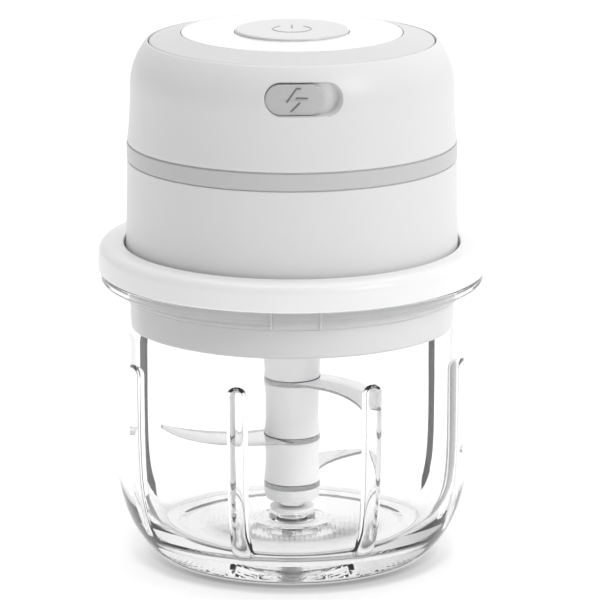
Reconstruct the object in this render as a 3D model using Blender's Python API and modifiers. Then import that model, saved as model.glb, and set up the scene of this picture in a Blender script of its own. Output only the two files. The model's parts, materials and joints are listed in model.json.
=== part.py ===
"""Cordless mini food chopper: a clear bowl, a three-blade unit on a steel spindle, a lid and a power unit.

Units: the named sizes below are millimetres, and every helper scales them to metres by MM.
Frame: origin on the vertical axis at the underside of the bowl, +Z up, the charging port faces -Y.
Each piece that moves has its origin on its joint's axis.
"""

import math

import bmesh
import bpy
from mathutils import Matrix, Vector

MM = 0.001
GAP = 0.3           # between two pieces that touch
RUNNING = 0.4       # between two pieces that slide or turn on each other
ROUND = 36          # sides of a large turned piece
SMALL_ROUND = 18    # sides of a small turned piece
WIDE_STEPS = 40     # sides of a wide disc
CAN_STEPS = 32      # sides of a can, a cell or a clip
DRUM_STEPS = 24     # sides of a drum
PEG_STEPS = 16      # sides of a peg, a boss or a plunger
BORE_STEPS = 12     # sides of a screw's bore
HEX = 6             # sides of the drive dog and its socket
ARC_STEPS = 2       # pieces of a filleted corner
SLOT_END_STEPS = 8  # pieces of a slot's round end
SOFT = 0.6          # radius of a softened edge
CRISP = 0.4         # radius of a crisp edge

# Bowl
BOWL_R = 40.3           # outer radius of the upright wall
BOWL_WALL = 3.6
BOWL_H = 63.9           # height of the rim
BOWL_FOOT_R = 30.9
BOWL_SWELL_H = 8.1      # height in which the outside widens by a factor e
BOWL_FLOOR_Z = 5.4
BOWL_FLOOR_R = 29.5
BOWL_FILLET_H = 5.0     # the same for the inside
BOWL_RECESS_R = 27.0
BOWL_RECESS_H = 1.2
BOWL_RIM_H = 2.4
BOWL_PROFILE_STEPS = 7
BOWL_SIDES_PER_RIB = 5
FLOOR_RING_R = 9.0
FLOOR_RING_W = 1.2
FLOOR_RING_H = 0.6
RIB_COUNT = 8
RIB_FIRST_DEG = -108.0  # azimuth of the rib left of the front
RIB_W = 4.5
RIB_DEPTH = 2.5
RIB_TOP_Z = 45.5
RIB_ROOT = 1.2          # how far a rib runs into the wall
RIB_SINK = 0.8          # how far it runs into the floor
RIB_STEPS = 5

# Spindle
SPINDLE_R = 2.2
SPINDLE_SINK = 3.3      # height of the pin's lower end in the bowl's base
SPINDLE_TOP_Z = 44.0
BOSS_R = 5.2
BOSS_H = 2.6            # above the bowl's floor
WASHER_R = 5.0
WASHER_T = 1.0

# Blade unit
HUB_R = 6.3
CORE_WALL = 1.6
BUSH_R = 3.8
BUSH_H = 2.1
FOOT_H = 3.4
FOOT_BOTTOM_R = 4.9
BLADE_T = 1.0
BLADE_CLEARANCE = 5.7   # from a blade's tip to the bowl's wall
BLADE_Z = (38.1, 25.0, 14.3)        # underside of each blade, top one first
BLADE_DEG = (-60.0, 168.0, 54.0)    # azimuth of each tip
BLADE_STEPS = 8
BLADE_REACH = BOWL_R - BOWL_WALL - BLADE_CLEARANCE
BLADE_LEAD = ((0.226, 0.406), (0.661, 0.484))   # pull points of the leading edge, in reaches, tip on +X
BLADE_TRAIL = ((0.806, 0.052), (0.419, 0.181))  # the same for the trailing edge, from the tip
BLADE_TIP = (BLADE_REACH, -0.5)
BLADE_LEAD_ROOT = (-2.5, HUB_R - 0.5)
BLADE_TRAIL_ROOT = (4.5, -HUB_R + 2.1)
HUB_WAIST = 0.2         # how much slimmer a spacer is between its ends
HUB_WAIST_RUN = 1.2
FOOT_TAPER_H = 0.9
HUB_TOP_Z = 54.0
SOCKET_DEPTH = 7.0

# Lid
SKIRT_CLEARANCE = 0.7
LID_WALL = 2.4
LID_FLOOR_T = 2.2
SKIRT_DEPTH = 11.6      # below the bowl's rim
COLLAR_W = 5.75
COLLAR_H = 6.0
COLLAR_ROUND = 2.4
COLLAR_FLOOR_T = 2.0
WELL_CLEARANCE = 0.45
RIM_INSET = 0.6         # the bowl's rim behind the collar's edge
SEAL_Z = -4.7           # middle of the seal, from the collar's underside
SEAL_H = 1.4
SEAL_DEPTH = 1.1
SEAL_LIP = 0.35
LID_BUSH_WALL = 1.35

# Power unit: casing
CASE_OVERHANG = 0.8     # the casing's foot beyond the lid's skirt
CASE_WALL = 2.2
CASE_DRAFT = 0.5        # how much narrower the lower casing is at its top
LOWER_H = 22.3
BAND_H = 3.5
BAND_PROUD = 0.1
BAND_SLEEVE = 4.5       # how far its inner sleeve runs into each casing
BAND_SLEEVE_T = 1.0
UPPER_NECK_DRAFT = 0.75
SHOULDER_DROP = 0.5     # where the shoulder starts, below the circuit board
SHOULDER_H = 10.0
SHOULDER_IN = 3.65
SHOULDER_POWER = 2.2
SHOULDER_STEPS = 6
SHOULDER_WALL = 4.7     # thick enough to hold the port's recess
CASE_STEP_DROP = 1.0    # where that wall starts, below the circuit board
BASE_PLATE_T = 2.6
BASE_PLATE_Z = 0.7      # above the lid's floor
SPIGOT_BOSS_R = 3.2
SPIGOT_BOSS_H = 6.4
BOSS_BLEND = 0.8        # how far a boss runs into the wall

# Power unit: top
TRIM_SEAT = 2.4         # depth of the trim ring's seat
TRIM_GAP = 0.3
TRIM_RISE = 1.8
TRIM_W = 6.15
TRIM_LEDGE = 2.0
PLATE_T = 2.0
BUTTON_R = 12.5
BUTTON_RISE = 0.85
BUTTON_T = 2.15
BUTTON_FLANGE = 1.3
BUTTON_WALL = 1.3
BUTTON_STEM_R = 2.2
BUTTON_STEM_L = 2.4
POST_R = 2.6
POST_CIRCLE_R = 18.0
POST_DEG = (90.0, 210.0, 330.0)
BOSS_DEG = (45.0, 165.0, 285.0)

# Power unit: works
SHAFT_R = 1.15
MOTOR_R = 12.2
MOTOR_H = 30.8
MOTOR_WALL = 1.0
MOTOR_FACE_T = 1.5
CAN_ROUND = 0.8         # edge of the motor's can and of the cell
MOTOR_CAP_T = 1.8
MAGNET_T = 1.5
AIR_GAP = 0.5
ARMATURE_H = 18.0
ARMATURE_Z = 5.3        # above the motor's face
SLOT_W = 2.4
SLOT_COUNT = 3
COMMUTATOR_R = 3.0
COMMUTATOR_H = 3.0
BRACKET_T = 1.6
BRACKET_HOLE_R = 5.4
COUPLING_R = 4.6
COUPLING_H = 8.9
COUPLING_DROP = 0.2     # its shoulder below the base plate
COUPLING_BORE = 5.5     # depth of the shaft's bore
DOG_R = 3.95
DOG_H = 7.0
BEARING_W = 1.5
CELL_CLEARANCE = 0.8    # from the cell to the accent band's sleeve
CELL_H = 35.0
CELL_SEAT_INSET = 1.95
CLIP_T = 0.9
CLIP_H = 5.0
CLIP_Z = 4.0            # above the cell's lower end
CELL_HEADROOM = 1.5
BOARD_T = 1.6
BOARD_CLEARANCE = 0.6
TACT_W = 7.0
TACT_H = 3.8
TACT_PLUNGER_R = 1.75
TACT_PLUNGER_H = 2.3
TACT_BORE_DEPTH = 2.4
TACT_TRAVEL = 1.2       # room below the plunger
SPRING_R = 6.0
SPRING_WIRE_R = 0.3
SPRING_TURNS = 3
SPRING_POINTS = 10      # in a turn
SAFETY_INSET = 1.2      # inside the middle of the space beside the motor
SAFETY_R = 1.2
SAFETY_COLLAR_R = 2.2
SAFETY_COLLAR_T = 1.0
SAFETY_TRAVEL = 1.0
SAFETY_SWITCH = (5.8, 12.8, 6.5)

# Charging port
PORT_LEFT = -5.7
PORT_W = 16.4
PORT_H = 6.8
PORT_DROP = 0.7         # its middle below the socket's middle
PORT_DEPTH = 2.25
COVER_W = 12.2
COVER_T = 1.2
COVER_HINGE_INSET = 0.9
COVER_HINGE_PROUD = 0.1 # the hinge's line stands off the cover's face
COVER_LIFT = 0.75       # from the recess's floor to the cover
SOCKET_W = 9.0
SOCKET_H = 3.2
SOCKET_L = 7.5
SOCKET_WALL = 0.4
SOCKET_SETBACK = 0.4    # behind the board's edge

# Screws
SCREW_R = 1.0
SCREW_HEAD_R = 2.0
SCREW_HEAD_T = 0.9
SCREW_BORE_R = SCREW_R + GAP + 0.05
SCREW_L = 4.6
SCREW_SEAT = 0.1        # under a screw's head
SCREW_TAIL = 0.6
MOTOR_SCREW_CIRCLE_R = 8.0

# Sizes that follow
BOWL_IN_R = BOWL_R - BOWL_WALL
SKIRT_R = BOWL_IN_R - SKIRT_CLEARANCE
SPIGOT_R = SKIRT_R - LID_WALL - RUNNING
CASE_R = SKIRT_R + CASE_OVERHANG
WELL_R = CASE_R + WELL_CLEARANCE
COLLAR_R = WELL_R + COLLAR_W
RIM_R = COLLAR_R - RIM_INSET
COLLAR_Z = BOWL_H + GAP
COLLAR_TOP_Z = COLLAR_Z + COLLAR_H
LEDGE_Z = COLLAR_Z + COLLAR_FLOOR_T
LID_Z = BOWL_H - SKIRT_DEPTH
LID_FLOOR_Z = LID_Z + LID_FLOOR_T

CORE_IN_R = SPINDLE_R + RUNNING
CORE_R = CORE_IN_R + CORE_WALL
SLEEVE_IN_R = CORE_R + GAP
SOCKET_R = DOG_R + RUNNING / math.cos(math.pi / 6)
BOSS_Z = BOWL_FLOOR_Z + BOSS_H
WASHER_Z = BOSS_Z + GAP
BUSH_Z = WASHER_Z + WASHER_T + GAP

BASE_PLATE_BOTTOM = LID_FLOOR_Z + BASE_PLATE_Z
BASE_PLATE_TOP = BASE_PLATE_BOTTOM + BASE_PLATE_T
SPIGOT_Z = BASE_PLATE_TOP + GAP
SPIGOT_IN_R = SPIGOT_R - CASE_WALL
CASE_Z = LEDGE_Z + GAP
LOWER_TOP_Z = CASE_Z + LOWER_H
LOWER_TOP_R = CASE_R - CASE_DRAFT
BAND_Z = LOWER_TOP_Z + GAP
UPPER_Z = BAND_Z + BAND_H + GAP
CELL_Z = CASE_Z + CASE_WALL + GAP
BOARD_Z = CELL_Z + CELL_H + CELL_HEADROOM
BOARD_TOP_Z = BOARD_Z + BOARD_T
NECK_TOP_Z = BOARD_Z - SHOULDER_DROP
NECK_R = LOWER_TOP_R - UPPER_NECK_DRAFT
CASE_TOP_Z = NECK_TOP_Z + SHOULDER_H
CASE_TOP_R = NECK_R - SHOULDER_IN
CASE_IN_R = LOWER_TOP_R - CASE_WALL

TRIM_R = CASE_TOP_R - TRIM_GAP - TRIM_GAP
TRIM_Z = CASE_TOP_Z - TRIM_SEAT
TRIM_TOP_Z = CASE_TOP_Z + TRIM_RISE
PLATE_R = TRIM_R - TRIM_W - GAP
PLATE_Z = TRIM_TOP_Z - PLATE_T
BUTTON_TOP_Z = TRIM_TOP_Z + BUTTON_RISE
BUTTON_FACE_Z = BUTTON_TOP_Z - BUTTON_T
BUTTON_FLANGE_TOP = PLATE_Z - GAP
BUTTON_FLANGE_T = 1.0
STEM_Z = BUTTON_FACE_Z - BUTTON_STEM_L

BOSS_TOP_Z = SPIGOT_Z + SPIGOT_BOSS_H
BOSS_CIRCLE_R = SPIGOT_IN_R - SPIGOT_BOSS_R + BOSS_BLEND
BRACKET_Z = BOSS_TOP_Z + GAP
BRACKET_TOP_Z = BRACKET_Z + BRACKET_T
BRACKET_R = SPIGOT_IN_R - RUNNING
MOTOR_Z = BRACKET_TOP_Z + GAP
MOTOR_TOP_Z = MOTOR_Z + MOTOR_H
MOTOR_IN_R = MOTOR_R - MOTOR_WALL
ARMATURE_R = MOTOR_IN_R - GAP - MAGNET_T - AIR_GAP
CELL_NEAR_Y = MOTOR_R + CLIP_T + 2 * GAP
BAND_SLEEVE_R = CASE_IN_R - GAP
CELL_R = (BAND_SLEEVE_R - BAND_SLEEVE_T - CELL_CLEARANCE - CELL_NEAR_Y) / 2
CELL_Y = CELL_NEAR_Y + CELL_R
SAFETY_X = (MOTOR_R + CASE_IN_R) / 2 - SAFETY_INSET
CLIP_BOTTOM_Z = CELL_Z + CLIP_Z
SHAFT_BORE_R = SHAFT_R + RUNNING
COUPLING_Z = BASE_PLATE_BOTTOM - COUPLING_DROP
COUPLING_TOP_Z = COUPLING_Z + COUPLING_H
DOG_Z = COUPLING_Z - DOG_H
CASE_STEP_Z = BOARD_Z - CASE_STEP_DROP
SHOULDER_IN_R = NECK_R - SHOULDER_WALL
BOARD_R = SHOULDER_IN_R - BOARD_CLEARANCE
SOCKET_Z = BOARD_TOP_Z + GAP + SOCKET_H / 2
PORT_Z = SOCKET_Z - PORT_DROP
PORT_R = NECK_R - SHOULDER_IN * ((PORT_Z - NECK_TOP_Z) / SHOULDER_H) ** SHOULDER_POWER - PORT_DEPTH
PORT_MID_X = PORT_LEFT + PORT_W / 2
COVER_LEFT = PORT_LEFT + GAP
COVER_R = PORT_R + COVER_LIFT
COVER_MID_X = COVER_LEFT + COVER_W / 2
COVER_AXIS_X = COVER_LEFT + COVER_HINGE_INSET
COVER_AXIS_Y = -math.sqrt((COVER_R + COVER_T + COVER_HINGE_PROUD) ** 2 - COVER_AXIS_X ** 2)

# Finishes: colour, roughness, metallic, share of light let through
FINISHES = {
    "white_satin": ((0.86, 0.86, 0.87), 0.38, 0.0, 0.0),
    "white_gloss": ((0.93, 0.93, 0.94), 0.12, 0.0, 0.0),
    "grey_trim": ((0.62, 0.63, 0.65), 0.30, 0.0, 0.0),
    "grey_rubber": ((0.58, 0.58, 0.60), 0.60, 0.0, 0.0),
    "clear_plastic": ((0.97, 0.98, 0.98), 0.04, 0.0, 0.9),
    "steel": ((0.72, 0.73, 0.75), 0.22, 1.0, 0.0),
    "dark_steel": ((0.32, 0.33, 0.35), 0.35, 1.0, 0.0),
    "brass": ((0.72, 0.55, 0.28), 0.30, 1.0, 0.0),
    "copper": ((0.72, 0.40, 0.25), 0.35, 1.0, 0.0),
    "black_plastic": ((0.04, 0.04, 0.05), 0.45, 0.0, 0.0),
    "board_green": ((0.05, 0.25, 0.12), 0.45, 0.0, 0.0),
    "cell_wrap": ((0.12, 0.30, 0.62), 0.35, 0.0, 0.0),
}

for old in list(bpy.data.objects):
    bpy.data.objects.remove(old, do_unlink=True)

CHOPPER = bpy.data.collections.new("mini_chopper")
CUTTERS = bpy.data.collections.new("cutters")
bpy.context.scene.collection.children.link(CHOPPER)
bpy.context.scene.collection.children.link(CUTTERS)


# ---------------------------------------------------------------- helpers

def finish(name, kind):
    """A Principled material of its own for one piece."""
    colour, roughness, metallic, clear = FINISHES[kind]
    material = bpy.data.materials.new(name)
    material.use_nodes = True
    shader = material.node_tree.nodes["Principled BSDF"]
    shader.inputs["Base Color"].default_value = (*colour, 1.0)
    shader.inputs["Roughness"].default_value = roughness
    shader.inputs["Metallic"].default_value = metallic
    shader.inputs["Transmission Weight"].default_value = clear
    return material


def place(name, data, kind, at=(0.0, 0.0, 0.0)):
    """A new object: a named piece with its finish, or a hidden cutter when kind is None."""
    piece = bpy.data.objects.new(name, data)
    piece.location = Vector(at) * MM
    if kind is None:
        piece.hide_render = True
        piece.display_type = "WIRE"
        CUTTERS.objects.link(piece)
        return piece
    data.materials.append(finish(name, kind))
    CHOPPER.objects.link(piece)
    return piece


def bezier(start, first, second, end, steps):
    """Points along a cubic curve, its start included and its end left out."""
    points = []
    for step in range(steps):
        t = step / steps
        weights = ((1 - t) ** 3, 3 * t * (1 - t) ** 2, 3 * t * t * (1 - t), t ** 3)
        corners = (start, first, second, end)
        points.append(tuple(sum(w * c[axis] for w, c in zip(weights, corners)) for axis in (0, 1)))
    return points


def filleted(points):
    """An outline whose points (a, b, radius) with a third value are rounded by an arc."""
    outline = []
    for index, point in enumerate(points):
        if len(point) == 2:
            outline.append(Vector(point))
            continue
        corner = Vector(point[:2])
        before = (Vector(points[index - 1][:2]) - corner).normalized()
        after = (Vector(points[(index + 1) % len(points)][:2]) - corner).normalized()
        half = before.angle(after) / 2
        reach = point[2] / math.tan(half)
        centre = corner + (before + after).normalized() * point[2] / math.sin(half)
        start = corner + before * reach - centre
        turn = math.pi - 2 * half
        side = 1.0 if start.x * (corner - centre).y - start.y * (corner - centre).x > 0 else -1.0
        for step in range(ARC_STEPS + 1):
            angle = side * turn * step / ARC_STEPS
            cos, sin = math.cos(angle), math.sin(angle)
            outline.append(centre + Vector((start.x * cos - start.y * sin, start.x * sin + start.y * cos)))
    return outline


def turned(name, kind, section, sides=ROUND, at=(0.0, 0.0, 0.0)):
    """A section of (radius, height) points turned about the vertical axis through at."""
    outline = filleted(section)
    pairs = zip(outline, outline[1:] + outline[:1])
    area = sum(a.x * b.y - b.x * a.y for a, b in pairs)
    if area > 0:
        outline.reverse()
    closed = outline[0].x > 0 or outline[-1].x > 0
    mesh = bpy.data.meshes.new(name)
    edges = [(i, i + 1) for i in range(len(outline) - 1)]
    if closed:
        edges.append((len(outline) - 1, 0))
    mesh.from_pydata([(p.x * MM, 0.0, p.y * MM) for p in outline], edges, [])
    piece = place(name, mesh, kind, at)
    screw = piece.modifiers.new("turn", "SCREW")
    screw.axis = "Z"
    screw.steps = sides
    screw.render_steps = sides
    screw.use_merge_vertices = True
    screw.merge_threshold = 0.00001
    return piece


def ring(name, kind, inner, outer, bottom, top, sides=SMALL_ROUND, at=(0.0, 0.0, 0.0)):
    """A plain ring or sleeve."""
    return turned(name, kind, [(outer, top), (outer, bottom), (inner, bottom), (inner, top)], sides, at)


def rod(name, kind, radius, bottom, top, sides=SMALL_ROUND, at=(0.0, 0.0, 0.0)):
    """A solid cylinder, or a prism when it has few sides."""
    mesh = bpy.data.meshes.new(name)
    shape = bmesh.new()
    bmesh.ops.create_cone(
        shape, cap_ends=True, segments=sides, radius1=radius * MM, radius2=radius * MM,
        depth=(top - bottom) * MM,
        matrix=Matrix.Translation((0.0, 0.0, (top + bottom) / 2 * MM)),
    )
    shape.to_mesh(mesh)
    shape.free()
    return place(name, mesh, kind, at)


def block(name, kind, size, centre, at=(0.0, 0.0, 0.0)):
    """A box of the given size about centre."""
    mesh = bpy.data.meshes.new(name)
    shape = bmesh.new()
    spread = Matrix.Diagonal((*(Vector(size) * MM), 1.0))
    bmesh.ops.create_cube(shape, size=1.0, matrix=Matrix.Translation(Vector(centre) * MM) @ spread)
    shape.to_mesh(mesh)
    shape.free()
    return place(name, mesh, kind, at)


def flat(name, kind, outlines, thickness, at=(0.0, 0.0, 0.0), turn=(0.0, 0.0, 0.0)):
    """A sheet cut to closed outlines, the first its edge and the rest its holes, centred on its plane."""
    curve = bpy.data.curves.new(name, "CURVE")
    curve.dimensions = "2D"
    curve.fill_mode = "BOTH"
    curve.extrude = thickness / 2 * MM
    for outline in outlines:
        spline = curve.splines.new("POLY")
        spline.points.add(len(outline) - 1)
        for point, (x, y) in zip(spline.points, outline):
            point.co = (x * MM, y * MM, 0.0, 1.0)
        spline.use_cyclic_u = True
    piece = place(name, curve, kind, at)
    piece.rotation_euler = turn
    return piece


def meshed(piece):
    """The curve object remade as a mesh object, so that it can cut or be cut."""
    bpy.context.view_layer.update()
    seen = piece.evaluated_get(bpy.context.evaluated_depsgraph_get())
    mesh = bpy.data.meshes.new_from_object(seen)
    shape = bmesh.new()
    shape.from_mesh(mesh)
    bmesh.ops.remove_doubles(shape, verts=shape.verts, dist=0.000001)
    bmesh.ops.recalc_face_normals(shape, faces=shape.faces)
    shape.to_mesh(mesh)
    shape.free()
    name = piece.name
    solid = bpy.data.objects.new(name + "_solid", mesh)
    solid.matrix_world = piece.matrix_world.copy()
    solid.hide_render = piece.hide_render
    solid.display_type = piece.display_type
    for collection in piece.users_collection:
        collection.objects.link(solid)
    bpy.data.objects.remove(piece)
    solid.name = name
    return solid


def combine(piece, tool, how):
    """A Boolean of piece with a hidden tool: DIFFERENCE, UNION or INTERSECT."""
    step = piece.modifiers.new(tool.name, "BOOLEAN")
    step.operation = how
    step.solver = "EXACT"
    step.object = tool


def circle(radius, sides):
    """The corners of a round outline."""
    return [(radius * math.cos(a), radius * math.sin(a))
            for a in (math.tau * step / sides for step in range(sides))]


def around(radius, degrees):
    """The (x, y) at an azimuth."""
    return (radius * math.cos(math.radians(degrees)), radius * math.sin(math.radians(degrees)))


def screw(name, at, head_z, tip_z):
    """A screw whose head's flat meets head_z and whose shank runs to tip_z."""
    way = 1.0 if tip_z > head_z else -1.0
    crown_z = head_z - way * SCREW_HEAD_T
    section = [(0.0, crown_z), (SCREW_HEAD_R, crown_z), (SCREW_HEAD_R, head_z), (SCREW_R, head_z),
               (SCREW_R, tip_z - way * SCREW_R / 2), (SCREW_R / 2, tip_z), (0.0, tip_z)]
    return turned(name, "dark_steel", section, PEG_STEPS, at)


# ---------------------------------------------------------------- bowl and spindle

def bowl_outside(z):
    """The bowl's outer radius at a height."""
    return BOWL_R - (BOWL_R - BOWL_FOOT_R) * math.exp(-z / BOWL_SWELL_H)


def bowl_inside(z):
    """The bowl's inner radius at a height."""
    return BOWL_IN_R - (BOWL_IN_R - BOWL_FLOOR_R) * math.exp(-(z - BOWL_FLOOR_Z) / BOWL_FILLET_H)


def spread_heights(low, high, steps):
    """Heights from low to high, closer together at the low end."""
    return [low + (high - low) * (step / steps) ** 2 for step in range(steps + 1)]


def bowl():
    rim_z = BOWL_H - BOWL_RIM_H
    bore = SPINDLE_R + GAP
    ring_in = FLOOR_RING_R - FLOOR_RING_W / 2
    ring_out = FLOOR_RING_R + FLOOR_RING_W / 2
    section = [(0.0, SPINDLE_SINK - GAP), (bore, SPINDLE_SINK - GAP), (bore, BOSS_Z), (BOSS_R, BOSS_Z),
               (BOSS_R, BOWL_FLOOR_Z), (ring_in, BOWL_FLOOR_Z), (ring_in, BOWL_FLOOR_Z + FLOOR_RING_H),
               (ring_out, BOWL_FLOOR_Z + FLOOR_RING_H), (ring_out, BOWL_FLOOR_Z)]
    section += [(bowl_inside(z), z) for z in spread_heights(BOWL_FLOOR_Z, rim_z, BOWL_PROFILE_STEPS)]
    section += [(BOWL_IN_R, BOWL_H), (RIM_R, BOWL_H, SOFT), (RIM_R, rim_z, SOFT), (BOWL_R, rim_z)]
    outer = [(bowl_outside(z), z) for z in spread_heights(1.0, rim_z - 3.0, BOWL_PROFILE_STEPS)]
    section += outer[::-1]
    section += [(BOWL_FOOT_R - 0.5, 0.0), (BOWL_RECESS_R, 0.0), (BOWL_RECESS_R - SOFT, BOWL_RECESS_H),
                (0.0, BOWL_RECESS_H)]
    piece = turned("bowl", "clear_plastic", section, RIB_COUNT * BOWL_SIDES_PER_RIB)
    heights = spread_heights(BOWL_FLOOR_Z - RIB_SINK, RIB_TOP_Z, RIB_STEPS)
    inner = [(bowl_inside(max(z, BOWL_FLOOR_Z)) - RIB_DEPTH, z) for z in heights]
    outline = inner[:-1] + [(inner[-1][0] + RIB_DEPTH / 2, RIB_TOP_Z), (BOWL_IN_R + RIB_ROOT, RIB_TOP_Z)]
    outline += [(bowl_inside(max(z, BOWL_FLOOR_Z)) + RIB_ROOT, z) for z in heights[-2::-1]]
    for index in range(RIB_COUNT):
        azimuth = math.radians(RIB_FIRST_DEG + index * 360.0 / RIB_COUNT)
        rib = flat(f"rib_{index + 1}", None, [outline], RIB_W, turn=(math.pi / 2, 0.0, azimuth))
        combine(piece, meshed(rib), "UNION")
    return piece


def spindle():
    rod_top = SPINDLE_TOP_Z
    section = [(0.0, rod_top), (SPINDLE_R, rod_top, 1.0), (SPINDLE_R, SPINDLE_SINK), (0.0, SPINDLE_SINK)]
    turned("spindle_pin", "steel", section, SMALL_ROUND)
    ring("thrust_washer", "white_gloss", CORE_IN_R, WASHER_R, WASHER_Z, WASHER_Z + WASHER_T)


# ---------------------------------------------------------------- blade unit

def blade_outline():
    """A sickle with its tip on +X: a bulging leading edge, a hollow trailing edge and the hub's eye."""
    lead_pulls = [(x * BLADE_REACH, y * BLADE_REACH) for x, y in BLADE_LEAD]
    trail_pulls = [(x * BLADE_REACH, y * BLADE_REACH) for x, y in BLADE_TRAIL]
    lead = bezier(BLADE_LEAD_ROOT, *lead_pulls, BLADE_TIP, BLADE_STEPS)
    trail = bezier(BLADE_TIP, *trail_pulls, BLADE_TRAIL_ROOT, BLADE_STEPS)
    begin = math.atan2(*BLADE_TRAIL_ROOT[::-1])
    end = math.atan2(*BLADE_LEAD_ROOT[::-1]) - math.tau
    eye = [around(HUB_R, math.degrees(begin + (end - begin) * (step + 0.5) / BLADE_STEPS))
           for step in range(BLADE_STEPS)]
    return lead + trail + eye


def blade_unit():
    core_bottom = BUSH_Z + BUSH_H + GAP
    head_z = BLADE_Z[0] + BLADE_T + GAP
    socket_z = HUB_TOP_Z - SOCKET_DEPTH
    section = [(HUB_R, HUB_TOP_Z, SOFT), (HUB_R, head_z), (CORE_R, head_z), (CORE_R, core_bottom),
               (CORE_IN_R, core_bottom), (CORE_IN_R, HUB_TOP_Z)]
    core = turned("hub_core", "white_satin", section, SMALL_ROUND)
    combine(core, rod("hub_socket", None, SOCKET_R, socket_z, HUB_TOP_Z + 1.0, HEX), "DIFFERENCE")
    for index, (z, degrees) in enumerate(zip(BLADE_Z, BLADE_DEG)):
        flat(f"blade_{index + 1}", "steel", [blade_outline(), circle(SLEEVE_IN_R, SMALL_ROUND)], BLADE_T,
             at=(0.0, 0.0, z + BLADE_T / 2), turn=(0.0, 0.0, math.radians(degrees)))
    for index in (1, 2):
        low = BLADE_Z[index] + BLADE_T + GAP
        high = BLADE_Z[index - 1] - GAP
        waist = HUB_R - HUB_WAIST
        section = [(HUB_R, high), (waist, high - HUB_WAIST_RUN), (waist, low + HUB_WAIST_RUN), (HUB_R, low),
                   (SLEEVE_IN_R, low), (SLEEVE_IN_R, high)]
        turned(f"hub_spacer_{index}", "white_satin", section, SMALL_ROUND)
    foot_top = BLADE_Z[2] - GAP
    foot_z = foot_top - FOOT_H
    section = [(HUB_R - HUB_WAIST, foot_top), (FOOT_BOTTOM_R + SOFT, foot_z + FOOT_TAPER_H),
               (FOOT_BOTTOM_R, foot_z), (SLEEVE_IN_R, foot_z), (SLEEVE_IN_R, foot_top)]
    turned("hub_foot", "white_satin", section, SMALL_ROUND)
    ring("hub_bush", "brass", CORE_IN_R, BUSH_R, BUSH_Z, BUSH_Z + BUSH_H)


# ---------------------------------------------------------------- lid

def lid():
    bush_r = HUB_R + RUNNING + LID_BUSH_WALL
    hole_r = bush_r + GAP
    seal_low = COLLAR_Z + SEAL_Z - SEAL_H / 2
    seal_high = seal_low + SEAL_H
    groove_r = SKIRT_R - SEAL_DEPTH
    well_in_r = SKIRT_R - LID_WALL
    section = [(COLLAR_R, COLLAR_TOP_Z, COLLAR_ROUND), (COLLAR_R, COLLAR_Z, CRISP), (SKIRT_R, COLLAR_Z),
               (SKIRT_R, seal_high + GAP), (groove_r, seal_high + GAP), (groove_r, seal_low - GAP),
               (SKIRT_R, seal_low - GAP), (SKIRT_R, LID_Z, SOFT), (hole_r, LID_Z), (hole_r, LID_FLOOR_Z),
               (well_in_r, LID_FLOOR_Z), (well_in_r, LEDGE_Z), (WELL_R, LEDGE_Z), (WELL_R, COLLAR_TOP_Z)]
    turned("lid", "white_satin", section)
    lip_r = BOWL_IN_R - SEAL_LIP
    section = [(groove_r + GAP, seal_high), (SKIRT_R, seal_high), (lip_r, (seal_low + seal_high) / 2),
               (SKIRT_R, seal_low), (groove_r + GAP, seal_low)]
    turned("lid_seal", "grey_rubber", section)
    ring("lid_bush", "white_gloss", HUB_R + RUNNING, bush_r, LID_Z, LID_FLOOR_Z)


# ---------------------------------------------------------------- power unit casing

def shoulder(t):
    """The casing's radius at a share t of the shoulder's height."""
    return NECK_R - SHOULDER_IN * t ** SHOULDER_POWER


def stadium(width, height, middle_x, middle_z):
    """A slot's outline with round ends."""
    radius = height / 2
    reach = width / 2 - radius
    outline = []
    for side in (1.0, -1.0):
        for step in range(SLOT_END_STEPS + 1):
            angle = side * (math.pi / 2) - math.pi * step / SLOT_END_STEPS
            outline.append((middle_x + side * reach + radius * math.cos(angle),
                            middle_z + radius * math.sin(angle)))
    return outline


def port_outline(name, kind, width, middle_x, height):
    """A slot's prism that reaches in from the front."""
    plate = flat(name, kind, [stadium(width, height, middle_x, PORT_Z)], CASE_R,
                 at=(0.0, -CASE_R, 0.0), turn=(math.pi / 2, 0.0, 0.0))
    return meshed(plate)


def lower_housing():
    ledge_top = CASE_Z + CASE_WALL
    section = [(LOWER_TOP_R, LOWER_TOP_Z), (CASE_R, CASE_Z, CRISP), (SPIGOT_R, CASE_Z), (SPIGOT_R, SPIGOT_Z),
               (SPIGOT_IN_R, SPIGOT_Z), (SPIGOT_IN_R, ledge_top), (CASE_R - CASE_WALL, ledge_top),
               (CASE_IN_R, LOWER_TOP_Z)]
    housing = turned("lower_housing", "white_satin", section)
    for index, degrees in enumerate(BOSS_DEG):
        spot = (*around(BOSS_CIRCLE_R, degrees), 0.0)
        combine(housing, rod(f"boss_{index + 1}", None, SPIGOT_BOSS_R, SPIGOT_Z + SCREW_SEAT, BOSS_TOP_Z,
                             PEG_STEPS, spot), "UNION")
        combine(housing, rod(f"boss_bore_{index + 1}", None, SCREW_BORE_R, SPIGOT_Z - 1.0, BOSS_TOP_Z + 1.0,
                             BORE_STEPS, spot), "DIFFERENCE")


def accent_band():
    outer = LOWER_TOP_R + BAND_PROUD
    sleeve_r = BAND_SLEEVE_R
    low, high = BAND_Z - BAND_SLEEVE, BAND_Z + BAND_H + BAND_SLEEVE
    sleeve_top_r = sleeve_r - GAP
    section = [(outer, BAND_Z + BAND_H), (outer, BAND_Z), (sleeve_r, BAND_Z), (sleeve_r, low),
               (sleeve_r - BAND_SLEEVE_T, low), (sleeve_r - BAND_SLEEVE_T, high), (sleeve_top_r, high),
               (sleeve_top_r, BAND_Z + BAND_H)]
    turned("accent_band", "grey_trim", section)


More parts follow.
